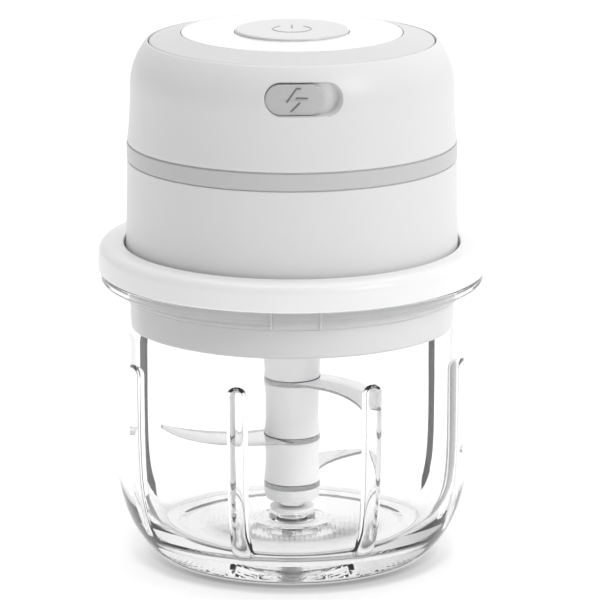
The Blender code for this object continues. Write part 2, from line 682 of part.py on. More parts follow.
def upper_housing():
    shares = [step / SHOULDER_STEPS for step in range(SHOULDER_STEPS + 1)]
    outside = [(shoulder(t), NECK_TOP_Z + SHOULDER_H * t) for t in shares]
    seat_r = CASE_TOP_R - TRIM_GAP
    section = [(LOWER_TOP_R, UPPER_Z)] + outside
    section += [(seat_r, CASE_TOP_Z), (seat_r, TRIM_Z - GAP), (SHOULDER_IN_R, TRIM_Z - GAP),
                (SHOULDER_IN_R, CASE_STEP_Z), (NECK_R - CASE_WALL, CASE_STEP_Z), (CASE_IN_R, UPPER_Z)]
    housing = turned("upper_housing", "white_satin", section)
    recess = port_outline("port_recess", None, PORT_W, PORT_MID_X, PORT_H)
    keep = rod("port_floor", None, PORT_R, PORT_Z - PORT_H, PORT_Z + PORT_H, ROUND)
    combine(recess, keep, "DIFFERENCE")
    combine(housing, recess, "DIFFERENCE")
    opening = block("socket_opening", None, (SOCKET_W + 1.0, SHOULDER_WALL * 3, SOCKET_H + 1.0),
                    (COVER_MID_X, -PORT_R, SOCKET_Z))
    combine(housing, opening, "DIFFERENCE")


def port_cover():
    at = (COVER_AXIS_X, COVER_AXIS_Y, PORT_Z)
    section = [(COVER_R + COVER_T, PORT_Z + PORT_H), (COVER_R + COVER_T, PORT_Z - PORT_H),
               (COVER_R, PORT_Z - PORT_H), (COVER_R, PORT_Z + PORT_H)]
    outline = stadium(COVER_W, PORT_H - 2 * GAP, COVER_MID_X - COVER_AXIS_X, 0.0)
    cover = meshed(flat("port_cover", "grey_rubber", [outline], CASE_R, at=at, turn=(math.pi / 2, 0.0, 0.0)))
    combine(cover, turned("cover_band", None, section, 2 * ROUND), "INTERSECT")


def base_plate():
    bearing_r = COUPLING_R + RUNNING + BEARING_W
    section = [(SPIGOT_R, BASE_PLATE_TOP), (SPIGOT_R, BASE_PLATE_BOTTOM, 0.5),
               (bearing_r + GAP, BASE_PLATE_BOTTOM), (bearing_r + GAP, BASE_PLATE_TOP)]
    plate = turned("base_plate", "white_satin", section)
    head_top = BASE_PLATE_BOTTOM + SCREW_HEAD_T + GAP + SCREW_SEAT
    for index, degrees in enumerate(BOSS_DEG):
        spot = (*around(BOSS_CIRCLE_R, degrees), 0.0)
        combine(plate, rod(f"head_bore_{index + 1}", None, SCREW_HEAD_R + RUNNING, BASE_PLATE_BOTTOM - 1.0,
                           head_top, PEG_STEPS, spot), "DIFFERENCE")
        combine(plate, rod(f"plate_bore_{index + 1}", None, SCREW_BORE_R, BASE_PLATE_BOTTOM - 1.0,
                           BASE_PLATE_TOP + 1.0, BORE_STEPS, spot), "DIFFERENCE")
        screw(f"base_screw_{index + 1}", spot, head_top - GAP, BASE_PLATE_TOP + SCREW_L - SCREW_HEAD_T)
    combine(plate, rod("plunger_bore", None, SAFETY_R + RUNNING, BASE_PLATE_BOTTOM - 1.0,
                       BASE_PLATE_TOP + 1.0, PEG_STEPS, (SAFETY_X, 0.0, 0.0)), "DIFFERENCE")
    ring("output_bearing", "brass", COUPLING_R + RUNNING, bearing_r, BASE_PLATE_BOTTOM, BASE_PLATE_TOP)


# ---------------------------------------------------------------- power unit top

def top_plate():
    hole_r = BUTTON_R + GAP
    section = [(PLATE_R, TRIM_TOP_Z, 0.5), (PLATE_R, PLATE_Z), (hole_r, PLATE_Z), (hole_r, TRIM_TOP_Z, CRISP)]
    plate = turned("top_plate", "white_gloss", section)
    for index, degrees in enumerate(POST_DEG):
        spot = (*around(POST_CIRCLE_R, degrees), 0.0)
        combine(plate, rod(f"post_{index + 1}", None, POST_R, BOARD_TOP_Z + GAP, PLATE_Z + 0.5, PEG_STEPS,
                           spot), "UNION")
        combine(plate, rod(f"post_bore_{index + 1}", None, SCREW_BORE_R, BOARD_TOP_Z - 1.0,
                           PLATE_Z - 1.0, BORE_STEPS, spot), "DIFFERENCE")
        screw(f"board_screw_{index + 1}", spot, BOARD_Z - SCREW_SEAT, BOARD_TOP_Z + SCREW_L - SCREW_HEAD_T)


def trim_ring():
    inner_r = PLATE_R + GAP
    section = [(TRIM_R, CASE_TOP_Z), (TRIM_R, TRIM_Z), (inner_r - TRIM_LEDGE, TRIM_Z),
               (inner_r - TRIM_LEDGE, PLATE_Z - GAP), (inner_r, PLATE_Z - GAP), (inner_r, TRIM_TOP_Z)]
    turned("trim_ring", "grey_trim", section)


def power_button():
    flange_low = BUTTON_FLANGE_TOP - BUTTON_FLANGE_T
    wall_in_r = BUTTON_R - BUTTON_WALL
    section = [(0.0, BUTTON_TOP_Z), (BUTTON_R, BUTTON_TOP_Z, SOFT), (BUTTON_R, BUTTON_FLANGE_TOP),
               (BUTTON_R + BUTTON_FLANGE, BUTTON_FLANGE_TOP), (BUTTON_R + BUTTON_FLANGE, flange_low),
               (wall_in_r, flange_low), (wall_in_r, BUTTON_FACE_Z), (BUTTON_STEM_R, BUTTON_FACE_Z),
               (BUTTON_STEM_R, STEM_Z), (0.0, STEM_Z)]
    turned("power_button", "white_gloss", section, WIDE_STEPS)


# ---------------------------------------------------------------- power unit works

def start_switch():
    plunger_top = STEM_Z - GAP
    plunger_z = plunger_top - TACT_PLUNGER_H
    body_z = BOARD_TOP_Z + GAP
    body_top = body_z + TACT_H
    body = block("start_switch", "black_plastic", (TACT_W, TACT_W, TACT_H), (0.0, 0.0, body_z + TACT_H / 2))
    bore_z = min(body_top - TACT_BORE_DEPTH, plunger_z - TACT_TRAVEL)
    combine(body, rod("tact_bore", None, TACT_PLUNGER_R + RUNNING, bore_z, body_top + 1.0, PEG_STEPS),
            "DIFFERENCE")
    rod("switch_plunger", "black_plastic", TACT_PLUNGER_R, plunger_z, plunger_top, PEG_STEPS)


def coil(name, kind, radius, wire, low, high, turns):
    """A closed-end round spring as a bent wire."""
    curve = bpy.data.curves.new(name, "CURVE")
    curve.dimensions = "3D"
    curve.bevel_depth = wire * MM
    curve.bevel_resolution = 2
    curve.use_fill_caps = True
    count = turns * SPRING_POINTS
    spline = curve.splines.new("POLY")
    spline.points.add(count)
    for step, point in enumerate(spline.points):
        x, y = around(radius, 360.0 * step / SPRING_POINTS)
        point.co = (x * MM, y * MM, (low + (high - low) * step / count) * MM, 1.0)
    return place(name, curve, kind)


def motor():
    section = [(MOTOR_R, MOTOR_TOP_Z), (MOTOR_R, MOTOR_Z, CAN_ROUND), (SHAFT_BORE_R, MOTOR_Z),
               (SHAFT_BORE_R, MOTOR_Z + MOTOR_FACE_T), (MOTOR_IN_R, MOTOR_Z + MOTOR_FACE_T),
               (MOTOR_IN_R, MOTOR_TOP_Z)]
    can = turned("motor_can", "dark_steel", section, CAN_STEPS)
    cap_r = MOTOR_IN_R - GAP
    ring("motor_end_cap", "black_plastic", SHAFT_BORE_R, cap_r, MOTOR_TOP_Z - MOTOR_CAP_T, MOTOR_TOP_Z,
         CAN_STEPS)
    armature_z = MOTOR_Z + ARMATURE_Z
    armature_top = armature_z + ARMATURE_H
    ring("motor_magnet", "dark_steel", MOTOR_IN_R - GAP - MAGNET_T, MOTOR_IN_R - GAP, armature_z - 1.0,
         armature_top + 1.0, CAN_STEPS)
    shaft_in = SHAFT_R + GAP
    armature = ring("armature", "copper", shaft_in, ARMATURE_R, armature_z, armature_top, DRUM_STEPS)
    for index in range(SLOT_COUNT):
        x, y = around(ARMATURE_R, index * 360.0 / SLOT_COUNT)
        slot = block(f"slot_{index + 1}", None, (ARMATURE_R, SLOT_W, ARMATURE_H + 4.0), (0.0, 0.0, 0.0),
                     (x, y, armature_z + ARMATURE_H / 2))
        slot.rotation_euler.z = math.radians(index * 360.0 / SLOT_COUNT)
        combine(armature, slot, "DIFFERENCE")
    ring("commutator", "copper", shaft_in, COMMUTATOR_R, armature_top + 1.0,
         armature_top + 1.0 + COMMUTATOR_H, PEG_STEPS)
    bore_z = COUPLING_TOP_Z - COUPLING_BORE
    rod("motor_shaft", "steel", SHAFT_R, bore_z + GAP, MOTOR_TOP_Z - GAP, PEG_STEPS)
    section = [(0.0, bore_z), (shaft_in, bore_z), (shaft_in, COUPLING_TOP_Z), (COUPLING_R, COUPLING_TOP_Z),
               (COUPLING_R, COUPLING_Z), (0.0, COUPLING_Z)]
    coupling = turned("drive_coupling", "white_gloss", section, SMALL_ROUND)
    combine(coupling, rod("dog", None, DOG_R, DOG_Z, COUPLING_Z + 1.0, HEX), "UNION")
    return can


def motor_bracket(can):
    plate = ring("motor_bracket", "steel", BRACKET_HOLE_R, BRACKET_R, BRACKET_Z, BRACKET_TOP_Z, WIDE_STEPS)
    for index, degrees in enumerate(BOSS_DEG):
        spot = (*around(BOSS_CIRCLE_R, degrees), 0.0)
        combine(plate, rod(f"bracket_bore_{index + 1}", None, SCREW_BORE_R, BRACKET_Z - 1.0,
                           BRACKET_TOP_Z + 1.0, BORE_STEPS, spot), "DIFFERENCE")
        screw(f"bracket_screw_{index + 1}", spot, BRACKET_TOP_Z + SCREW_SEAT,
              BRACKET_TOP_Z - SCREW_L + SCREW_TAIL)
    for index, degrees in enumerate((0.0, 180.0)):
        spot = (*around(MOTOR_SCREW_CIRCLE_R, degrees), 0.0)
        bore = rod(f"motor_bore_{index + 1}", None, SCREW_BORE_R, BRACKET_Z - 1.0,
                   MOTOR_Z + MOTOR_FACE_T + 1.0, BORE_STEPS, spot)
        combine(plate, bore, "DIFFERENCE")
        combine(can, bore, "DIFFERENCE")
        screw(f"motor_screw_{index + 1}", spot, BRACKET_Z - SCREW_SEAT,
              MOTOR_Z + MOTOR_FACE_T + SCREW_TAIL)
    combine(plate, rod("switch_bore", None, SAFETY_R + RUNNING, BRACKET_Z - 1.0, BRACKET_TOP_Z + 1.0,
                       PEG_STEPS, (SAFETY_X, 0.0, 0.0)), "DIFFERENCE")


def safety_catch():
    spot = (SAFETY_X, 0.0, 0.0)
    low = LID_FLOOR_Z + GAP
    collar_z = BASE_PLATE_TOP + GAP
    body_z = BRACKET_TOP_Z + GAP
    high = body_z - GAP - SAFETY_TRAVEL
    collar_top = collar_z + SAFETY_COLLAR_T
    section = [(0.0, high), (SAFETY_R, high), (SAFETY_R, collar_top), (SAFETY_COLLAR_R, collar_top),
               (SAFETY_COLLAR_R, collar_z), (SAFETY_R, collar_z), (SAFETY_R, low), (0.0, low)]
    turned("safety_plunger", "grey_rubber", section, PEG_STEPS, spot)
    width, depth, height = SAFETY_SWITCH
    block("safety_switch", "black_plastic", (width, depth, height),
          (SAFETY_X, 0.0, body_z + height / 2))


def battery():
    spot = (0.0, CELL_Y, 0.0)
    section = [(0.0, CELL_Z + CELL_H), (CELL_R, CELL_Z + CELL_H, CAN_ROUND), (CELL_R, CELL_Z, CAN_ROUND),
               (0.0, CELL_Z)]
    turned("battery_cell", "cell_wrap", section, CAN_STEPS, spot)
    rod("battery_seat", "black_plastic", CELL_R - CELL_SEAT_INSET, BRACKET_TOP_Z + GAP, CELL_Z - GAP,
        DRUM_STEPS, spot)
    ring("battery_clip", "black_plastic", CELL_R + GAP, CELL_R + GAP + CLIP_T, CLIP_BOTTOM_Z,
         CLIP_BOTTOM_Z + CLIP_H, CAN_STEPS, spot)


def board():
    section = [(0.0, BOARD_TOP_Z), (BOARD_R, BOARD_TOP_Z), (BOARD_R, BOARD_Z), (0.0, BOARD_Z)]
    plate = turned("circuit_board", "board_green", section, WIDE_STEPS)
    for index, degrees in enumerate(POST_DEG):
        spot = (*around(POST_CIRCLE_R, degrees), 0.0)
        combine(plate, rod(f"board_bore_{index + 1}", None, SCREW_BORE_R, BOARD_Z - 1.0, BOARD_TOP_Z + 1.0,
                           BORE_STEPS, spot), "DIFFERENCE")
    front = -BOARD_R + SOCKET_SETBACK
    socket = block("charging_socket", "steel", (SOCKET_W, SOCKET_L, SOCKET_H),
                   (COVER_MID_X, front + SOCKET_L / 2, SOCKET_Z))
    mouth_size = (SOCKET_W - 2 * SOCKET_WALL, SOCKET_L, SOCKET_H - 2 * SOCKET_WALL)
    mouth = block("socket_mouth", None, mouth_size,
                  (COVER_MID_X, front - 1.0, SOCKET_Z))
    combine(socket, mouth, "DIFFERENCE")


bowl()
spindle()
blade_unit()
lid()
lower_housing()
accent_band()
upper_housing()
port_cover()
base_plate()
top_plate()
trim_ring()
power_button()
start_switch()
coil("button_spring", "steel", SPRING_R, SPRING_WIRE_R, BOARD_TOP_Z + SPRING_WIRE_R + GAP,
     BUTTON_FACE_Z - SPRING_WIRE_R - GAP, SPRING_TURNS)
motor_bracket(motor())
safety_catch()
battery()
board()
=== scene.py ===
"""Looks of the cordless mini food chopper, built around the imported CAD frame."""
import json
import math

import bmesh
import bpy
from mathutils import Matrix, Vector


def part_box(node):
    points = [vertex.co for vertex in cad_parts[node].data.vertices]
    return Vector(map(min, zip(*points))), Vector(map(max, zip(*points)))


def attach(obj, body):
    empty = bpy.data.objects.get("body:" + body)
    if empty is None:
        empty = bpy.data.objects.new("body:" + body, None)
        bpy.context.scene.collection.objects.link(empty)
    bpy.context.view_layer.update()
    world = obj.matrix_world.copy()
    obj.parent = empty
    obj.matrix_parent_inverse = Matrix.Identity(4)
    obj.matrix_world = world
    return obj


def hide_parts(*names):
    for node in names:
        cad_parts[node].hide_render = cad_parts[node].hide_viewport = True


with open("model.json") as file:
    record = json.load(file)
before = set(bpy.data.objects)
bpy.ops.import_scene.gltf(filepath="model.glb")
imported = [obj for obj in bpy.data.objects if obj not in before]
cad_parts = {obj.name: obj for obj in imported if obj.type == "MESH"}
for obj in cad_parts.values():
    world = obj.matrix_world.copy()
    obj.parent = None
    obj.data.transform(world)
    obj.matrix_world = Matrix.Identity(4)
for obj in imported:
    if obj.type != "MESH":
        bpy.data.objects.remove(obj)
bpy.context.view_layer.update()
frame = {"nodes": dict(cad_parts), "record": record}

MM = 0.001
ROUND_STEPS = 240        # around a large turned piece
SMALL_STEPS = 96         # around a small turned piece
PEG_STEPS = 48           # around a screw or a plunger
ARC_STEPS = 6            # pieces of a filleted corner
SUPPORT = 0.12           # flat run beside a fillet, which keeps its shading tight
SHARP_DEG = 32.0


# ---------------------------------------------------------------- places, in millimetres, from the frame

def low(node):
    """The height of a node's underside."""
    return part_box(node)[0][2] / MM


def high(node):
    """The height of a node's top."""
    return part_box(node)[1][2] / MM


def radius(node):
    """The outer radius of a node that is round about the vertical axis."""
    return (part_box(node)[1][0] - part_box(node)[0][0]) / 2 / MM


def middle(node, axis):
    """The middle of a node's box along an axis."""
    return (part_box(node)[0][axis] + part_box(node)[1][axis]) / 2 / MM


GAP = 0.3                # between parts of the casing
CASE_WALL = 2.2
LID_WALL = 2.4
LEDGE_T = 2.0            # the lid's ledge over the bowl's rim
RUNNING = 0.4            # round a part that turns
PRESSED = 0.05           # round a part pressed in

RIM_R = radius("bowl")
BOWL_H = high("bowl")
BOWL_R = RIM_R - 2.1
BOWL_IN_R = BOWL_R - 3.6
FOOT_R = 30.9
SWELL_H = 8.1            # the outside swells two thirds of its way over this height
FLOOR_Z = 5.4
FLOOR_R = 29.5
FLOOR_DISC_R = 28.9
FLOOR_DISC_STEP = 0.25
STIPPLE_R = 22.0
STIPPLE_FADE = 4.0
BEAD_R = 9.0             # a low bead round the boss
BEAD_H = 0.25
BOSS_R = 5.2
FILLET_H = 5.0           # like SWELL_H, for the inside
RECESS_R = 27.0          # the hollow under the foot
RECESS_H = 0.5
FOOT_Z = 1.3             # where the foot's rounded edge ends
RIM_H = 2.4
RIB_COUNT = 8
RIB_FIRST_DEG = -108.0
RIB_HALF_W = 2.25
RIB_FULLNESS = 0.75      # 0.5 is a half round, more is a softer foot
RIB_DEPTH = 1.6
RIB_TOP_Z = 46.0
RIB_SIDE_DEG = 4.2       # half the width that gets close steps
RIB_STEPS = 28
BETWEEN_STEPS = 18

DOG_R = 3.95
SHAFT_BORE_R = 1.45
BEARING_BORE_R = 4.9
PLUNGER_FLANGE = 1.0
HUB_R = 6.3
CORE_R = 4.5
SOCKET_R = 4.4
SOCKET_DEPTH = 7.0
SEXTANT = math.pi / 3
PIN_R = radius("spindle_pin")
BLADE_DEG = (-60.0, 168.0, 54.0)
BLADE_STEPS = 72
BLADE_TIP = (31.0, -0.5)
BLADE_LEAD = ((-2.5, HUB_R - 0.5), (7.0, 12.6), (20.5, 15.0), BLADE_TIP)
BLADE_TRAIL = ((4.5, -HUB_R + 2.1), (13.0, 5.6), (25.0, 1.6), BLADE_TIP)
GRIND_W = 2.3            # the ground strip along the leading edge
EDGE_T = 0.06            # half the thickness of that edge
BACK_W = 0.5             # the softened strip along the back
BACK_DROP = 0.2

COLLAR_R = radius("lid")
CASE_R = radius("lower_housing")
SKIRT_R = CASE_R - 0.8
WELL_R = CASE_R + 0.45
BAND_R = radius("accent_band")
CASE_TOP_R = BAND_R - 0.1
SPIGOT_R = radius("base_plate")
TRIM_R = radius("trim_ring")
PLATE_R = radius("top_plate")
BUTTON_FLANGE = 1.3
BUTTON_R = radius("power_button") - BUTTON_FLANGE
BUTTON_DISH = 0.12
BUTTON_CAP_T = 1.0
STEM_R = 2.2
PLATE_T = 2.0
RING_R = 4.2             # the power symbol
RING_GAP_DEG = 38
BAR = ((0.0, 1.2), (0.0, 4.9))
BOLT = (((0.75, 2.45), (-0.15, 2.45), (-2.25, -0.5)), ((-0.3, 0.4), (2.2, 0.4)), ((0.6, -0.55), (-1.3, -2.45)))
BOLT_X = 0.5             # from the cover's middle

SHOULDER_Z = low("circuit_board") - 0.5
SHOULDER_H = high("upper_housing") - SHOULDER_Z
NECK_R = CASE_TOP_R - 0.75
SHOULDER_IN = 3.65
SHOULDER_POWER = 2.2
SHOULDER_IN_R = NECK_R - 4.7     # the wall is thick here, for the port's recess

PORT_Z = middle("port_cover", 2)
SOCKET_Z = middle("charging_socket", 2)
COVER_X = middle("port_cover", 0)
PORT_W = 16.4
PORT_H = high("port_cover") - low("port_cover") + 2 * GAP
PORT_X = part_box("port_cover")[0][0] / MM - GAP + PORT_W / 2
PORT_EDGE = 0.45         # the slope of the recess's edge
MOUTH_W = 10.0           # the opening in front of the socket
MOUTH_H = 4.2
MOUTH_EDGE = 0.3
COVER_T = 1.2
COVER_OUT_R = -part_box("port_cover")[0][1] / MM
PORT_R = COVER_OUT_R - COVER_T - 0.75
COVER_STEPS = 84
COVER_EDGE = ((0.0, 0.05), (0.06, -0.12), (0.2, -0.2), (COVER_T - 0.2, 0.0), (COVER_T, 0.2))

CAMERA_PLACE = (0.00177, -0.8138, 0.2626)
CAMERA_DOWN_DEG = 14.235
LENS = 226.33
WORLD = 0.95
BRIGHT_WAY = (0.5, 0.86, 0.0)
WORLD_STOPS = ((0.0, 0.28), (1.0, 1.0), (0.25, 0.42), (0.5, 0.62), (0.75, 0.82))
KEY = 3.0
TOP = 6.2
FLOOR_HALF = 6.0         # in metres, like the next one
FLOOR_DROP = 0.0002
FLOOR_GLOW = 0.62
CONTACT_R = 50.0         # the painted contact shadow on the floor round the foot
CONTACT_STOPS = ((0.0, 1.0), (1.0, 1.0), (0.59, 1.0), (0.63, 0.34), (0.69, 0.62), (0.78, 0.94))
CONTACT_FRONT = (-26.0, 1.0)     # a y, and how much of the painted shadow shows there
CONTACT_BACK = (-2.0, 0.25)


# ---------------------------------------------------------------- materials

NOISE_RANGE = (0.3, 0.7)
TINT_RANGE = (0.35, 0.65)
TINT_SCALE = 45.0        # the scales of noise on moulded plastic, from broad to fine
SHEEN_SCALE = 300.0
GRAIN_SCALE = 3500.0
GRAIN_STRENGTH = 0.1
LINE_SCALE = 1500.0      # of the fine lines on turned metal
GRIND_SCALE = 900.0      # and on the blades
STIPPLE_SCALE = 900.0
RIPPLE_SCALE = 70.0
RIPPLE_SHARE = 0.08      # how high the bowl's waves are beside its stipple
RIPPLE_DEPTH = 0.00022
FOOT_SHADE = 0.3         # how much light the thick foot lets through to the floor


def base_material(name, colour, roughness, metallic=0.0, **sockets):
    """A Principled material whose constant values sit on the shader's own sockets."""
    material = bpy.data.materials.new(name)
    material.use_nodes = True
    shader = material.node_tree.nodes["Principled BSDF"]
    shader.inputs["Base Color"].default_value = (*colour, 1.0)
    shader.inputs["Roughness"].default_value = roughness
    shader.inputs["Metallic"].default_value = metallic
    for socket, value in sockets.items():
        shader.inputs[socket.replace("_", " ")].default_value = value
    return material, material.node_tree, shader


def position(tree, stretch=(1.0, 1.0, 1.0)):
    """Object coordinates, stretched per axis."""
    where = tree.nodes.new("ShaderNodeTexCoord")
    scale = tree.nodes.new("ShaderNodeMapping")
    scale.inputs["Scale"].default_value = stretch
    tree.links.new(where.outputs["Object"], scale.inputs["Vector"])
    return scale.outputs["Vector"]


def worked(tree, kind, operation, *inputs):
    """A math node's outputs; each input is a value, another node's output, or None to leave it as it is."""
    node = tree.nodes.new("ShaderNode" + kind)
    node.operation = operation
    for socket, value in zip(node.inputs, inputs):
        if isinstance(value, bpy.types.NodeSocket):
            tree.links.new(value, socket)
        elif value is not None:
            socket.default_value = value
    return node.outputs


def height_in(tree, where):
    """The Z of a place."""
    parts = tree.nodes.new("ShaderNodeSeparateXYZ")
    tree.links.new(where, parts.inputs["Vector"])
    return parts.outputs["Z"]


def ranged(tree, value, from_low=0.0, from_high=1.0, to_low=0.0, to_high=1.0):
    """A value mapped from one range to another, and held inside it."""
    node = tree.nodes.new("ShaderNodeMapRange")
    bounds = {"From Min": from_low, "From Max": from_high, "To Min": to_low, "To Max": to_high}
    for socket, bound in bounds.items():
        node.inputs[socket].default_value = bound
    tree.links.new(value, node.inputs["Value"])
    return node.outputs["Result"]


def noise(tree, vector, scale, detail=3.0):
    """A noise texture's value."""
    texture = tree.nodes.new("ShaderNodeTexNoise")
    texture.inputs["Scale"].default_value = scale
    texture.inputs["Detail"].default_value = detail
    tree.links.new(vector, texture.inputs["Vector"])
    return texture.outputs["Fac"]


def spread(tree, value, lowest, highest):
    """The middle part of a 0 to 1 value, where a noise's values lie, mapped to a range."""
    return ranged(tree, value, *NOISE_RANGE, lowest, highest)


def bumped(tree, shader, value, strength, depth):
    """Bump on a shader from a height value, depth in metres."""
    bump = tree.nodes.new("ShaderNodeBump")
    bump.inputs["Strength"].default_value = strength
    bump.inputs["Distance"].default_value = depth
    tree.links.new(value, bump.inputs["Height"])
    tree.links.new(bump.outputs["Normal"], shader.inputs["Normal"])


def tinted(tree, shader, value, dark, light):
    """A base colour that varies gently between two colours."""
    mixed = tree.nodes.new("ShaderNodeValToRGB")
    for element, place, colour in zip(mixed.color_ramp.elements, TINT_RANGE, (dark, light)):
        element.position = place
        element.color = (*colour, 1.0)
    tree.links.new(value, mixed.inputs["Fac"])
    tree.links.new(mixed.outputs["Color"], shader.inputs["Base Color"])


def moulded(name, colour, roughness, grain=0.00001, vary=0.012, **sockets):
    """Moulded plastic: a fine spark-eroded grain, slight unevenness in colour and sheen."""
    material, tree, shader = base_material(name, colour, roughness, **sockets)
    where = position(tree)
    tinted(tree, shader, noise(tree, where, TINT_SCALE), [c * (1 - vary) for c in colour], colour)
    tree.links.new(spread(tree, noise(tree, where, SHEEN_SCALE), roughness * 0.94, roughness * 1.06),
                   shader.inputs["Roughness"])
    bumped(tree, shader, noise(tree, where, GRAIN_SCALE, 1.0), GRAIN_STRENGTH, grain)
    return material


def brushed(name, colour, roughness, stretch):
    """Metal with fine lines along one axis."""
    material, tree, shader = base_material(name, colour, roughness, 1.0, Anisotropic=0.4)
    lines = noise(tree, position(tree, stretch), LINE_SCALE, 4.0)
    tinted(tree, shader, lines, [c * 0.9 for c in colour], colour)
    tree.links.new(spread(tree, lines, roughness * 0.7, roughness * 1.4), shader.inputs["Roughness"])
    bumped(tree, shader, lines, 0.12, 0.00002)
    return material


def clear_plastic(name):
    """Clear moulded bowl: slight waviness and a stipple on the floor inside; lamps shine through it."""
    material, tree, shader = base_material(name, (1.0, 1.0, 1.0), 0.0, Transmission_Weight=1.0, IOR=1.47)
    where = position(tree)
    height = height_in(tree, where)
    dots = tree.nodes.new("ShaderNodeTexVoronoi")
    dots.inputs["Scale"].default_value = STIPPLE_SCALE
    dots.inputs["Randomness"].default_value = 0.0
    tree.links.new(where, dots.inputs["Vector"])
    floor_z = (FLOOR_Z + FLOOR_DISC_STEP) * MM
    on_floor = worked(tree, "Math", "COMPARE", height, floor_z, 0.00005)["Value"]
    flat = worked(tree, "VectorMath", "MULTIPLY", where, (1.0, 1.0, 0.0))["Vector"]
    out = worked(tree, "VectorMath", "LENGTH", flat)["Value"]
    fade = ranged(tree, out, STIPPLE_R * MM, (STIPPLE_R - STIPPLE_FADE) * MM)
    held = worked(tree, "Math", "MULTIPLY", on_floor, fade)["Value"]
    stipple = worked(tree, "Math", "MULTIPLY", dots.outputs["Distance"], held)["Value"]
    ripples = noise(tree, where, RIPPLE_SCALE, 1.0)
    both = worked(tree, "Math", "MULTIPLY_ADD", ripples, RIPPLE_SHARE, stipple)["Value"]
    bumped(tree, shader, both, 0.35, RIPPLE_DEPTH)
    clear = tree.nodes.new("ShaderNodeBsdfTransparent")
    tree.links.new(ranged(tree, height, 0.0, SWELL_H * MM, FOOT_SHADE), clear.inputs["Color"])
    path = tree.nodes.new("ShaderNodeLightPath")
    mix = tree.nodes.new("ShaderNodeMixShader")
    tree.links.new(path.outputs["Is Shadow Ray"], mix.inputs["Fac"])
    tree.links.new(shader.outputs["BSDF"], mix.inputs[1])
    tree.links.new(clear.outputs["BSDF"], mix.inputs[2])
    tree.links.new(mix.outputs["Shader"], tree.nodes["Material Output"].inputs["Surface"])
    return material


def lid_plastic(name):
    """White plastic for the lid; the skirt inside the bowl is matt, and it is painted greyer than the collar, as
    painted shade where it sits under the collar inside the bowl.
    """
    material, tree, shader = base_material(name, (0.88, 0.88, 0.885), 0.30)
    where = position(tree)
    # painted shade: the base colour darkens below the bowl's rim, where the skirt sits under the collar
    share = ranged(tree, height_in(tree, where), (BOWL_H - 2.0) * MM, (BOWL_H + 0.1) * MM)
    tinted(tree, shader, share, (0.80, 0.80, 0.805), (0.92, 0.92, 0.925))
    tree.links.new(spread(tree, share, 0.42, 0.30), shader.inputs["Roughness"])
    bumped(tree, shader, noise(tree, where, GRAIN_SCALE, 1.0), GRAIN_STRENGTH, 0.000005)
    return material


def blade_steel(name):
    """Polished faces with faint grinding lines; the edges and any face that isn't level are painted darker, as
    painted shade.
    """
    material, tree, shader = base_material(name, (0.93, 0.93, 0.935), 0.12, 1.0)
    lines = noise(tree, position(tree, (1.0, 0.06, 1.0)), GRIND_SCALE)
    # painted shade: the base colour darkens wherever a face turns away from level, by its facing
    facing = tree.nodes.new("ShaderNodeNewGeometry")
    upright = height_in(tree, facing.outputs["True Normal"])
    level = worked(tree, "Math", "ABSOLUTE", upright)["Value"]
    tinted(tree, shader, level, (0.30, 0.30, 0.305), (0.93, 0.93, 0.935))
    tree.links.new(spread(tree, lines, 0.10, 0.17), shader.inputs["Roughness"])
    bumped(tree, shader, lines, 0.04, 0.00001)
    return material


SATIN = moulded("satin_white_plastic", (0.77, 0.77, 0.775), 0.34)
LID_WHITE = lid_plastic("lid_white_plastic")
HUB_WHITE = moulded("hub_white_plastic", (0.95, 0.95, 0.955), 0.36)
GLOSS = moulded("gloss_white_plastic", (0.95, 0.95, 0.955), 0.08, 0.000001, 0.006, Coat_Weight=0.4)
BUTTON = moulded("button_white_plastic", (0.70, 0.70, 0.705), 0.22, 0.000002, 0.008, Coat_Weight=0.3)
BAND = moulded("silver_grey_band", (0.58, 0.58, 0.585), 0.30, 0.0000004, 0.01)
TRIM = moulded("silver_grey_trim", (0.66, 0.66, 0.665), 0.30, 0.0000004, 0.01)
RUBBER = moulded("grey_silicone", (0.53, 0.53, 0.534), 0.45, 0.000008, 0.02, Sheen_Weight=0.2)
MARK = moulded("mark_grey_ink", (0.16, 0.16, 0.165), 0.5, 0.000002)
PALE_MARK = moulded("mark_pale_ink", (0.42, 0.42, 0.425), 0.4, 0.000002)
SEAL = moulded("seal_silicone", (0.78, 0.785, 0.79), 0.45, 0.000005, 0.02, Sheen_Weight=0.2)
CLEAR = clear_plastic("clear_bowl_plastic")
STEEL = blade_steel("ground_blade_steel")
PIN_STEEL = brushed("turned_pin_steel", (0.78, 0.78, 0.785), 0.12, (0.1, 0.1, 1.0))
ZINC = brushed("dark_zinc_steel", (0.26, 0.265, 0.28), 0.35, (1.0, 1.0, 0.2))
BRONZE = brushed("bearing_bronze", (0.62, 0.45, 0.22), 0.3, (0.1, 0.1, 1.0))
COPPER = brushed("armature_copper", (0.66, 0.34, 0.20), 0.35, (0.2, 0.2, 1.0))
BLACK = moulded("black_plastic", (0.03, 0.03, 0.033), 0.45, 0.00001, 0.1)
BOARD = moulded("board_lacquer", (0.02, 0.16, 0.07), 0.35, 0.000004, 0.1, Coat_Weight=0.3)
WRAP = moulded("cell_film", (0.06, 0.20, 0.48), 0.3, 0.000002, 0.05, Coat_Weight=0.3)

SLOT_LOOKS = {
    "clear_bowl": CLEAR, "polished_steel": PIN_STEEL, "white_satin": SATIN, "white_gloss": GLOSS,
    "grey_trim": TRIM, "grey_rubber": RUBBER, "bearing_bronze": BRONZE, "dark_steel": ZINC,
    "armature_copper": COPPER, "black_plastic": BLACK, "board_green": BOARD, "cell_wrap": WRAP,
}


def dress_cad_nodes():
    """Gives every CAD node the finish of its slot."""
    for part in frame["record"]["subparts"]:
        node = frame["nodes"][part["node"]]
        node.data.materials.clear()
        node.data.materials.append(SLOT_LOOKS[part["material_slot"]])


# ---------------------------------------------------------------- mesh helpers

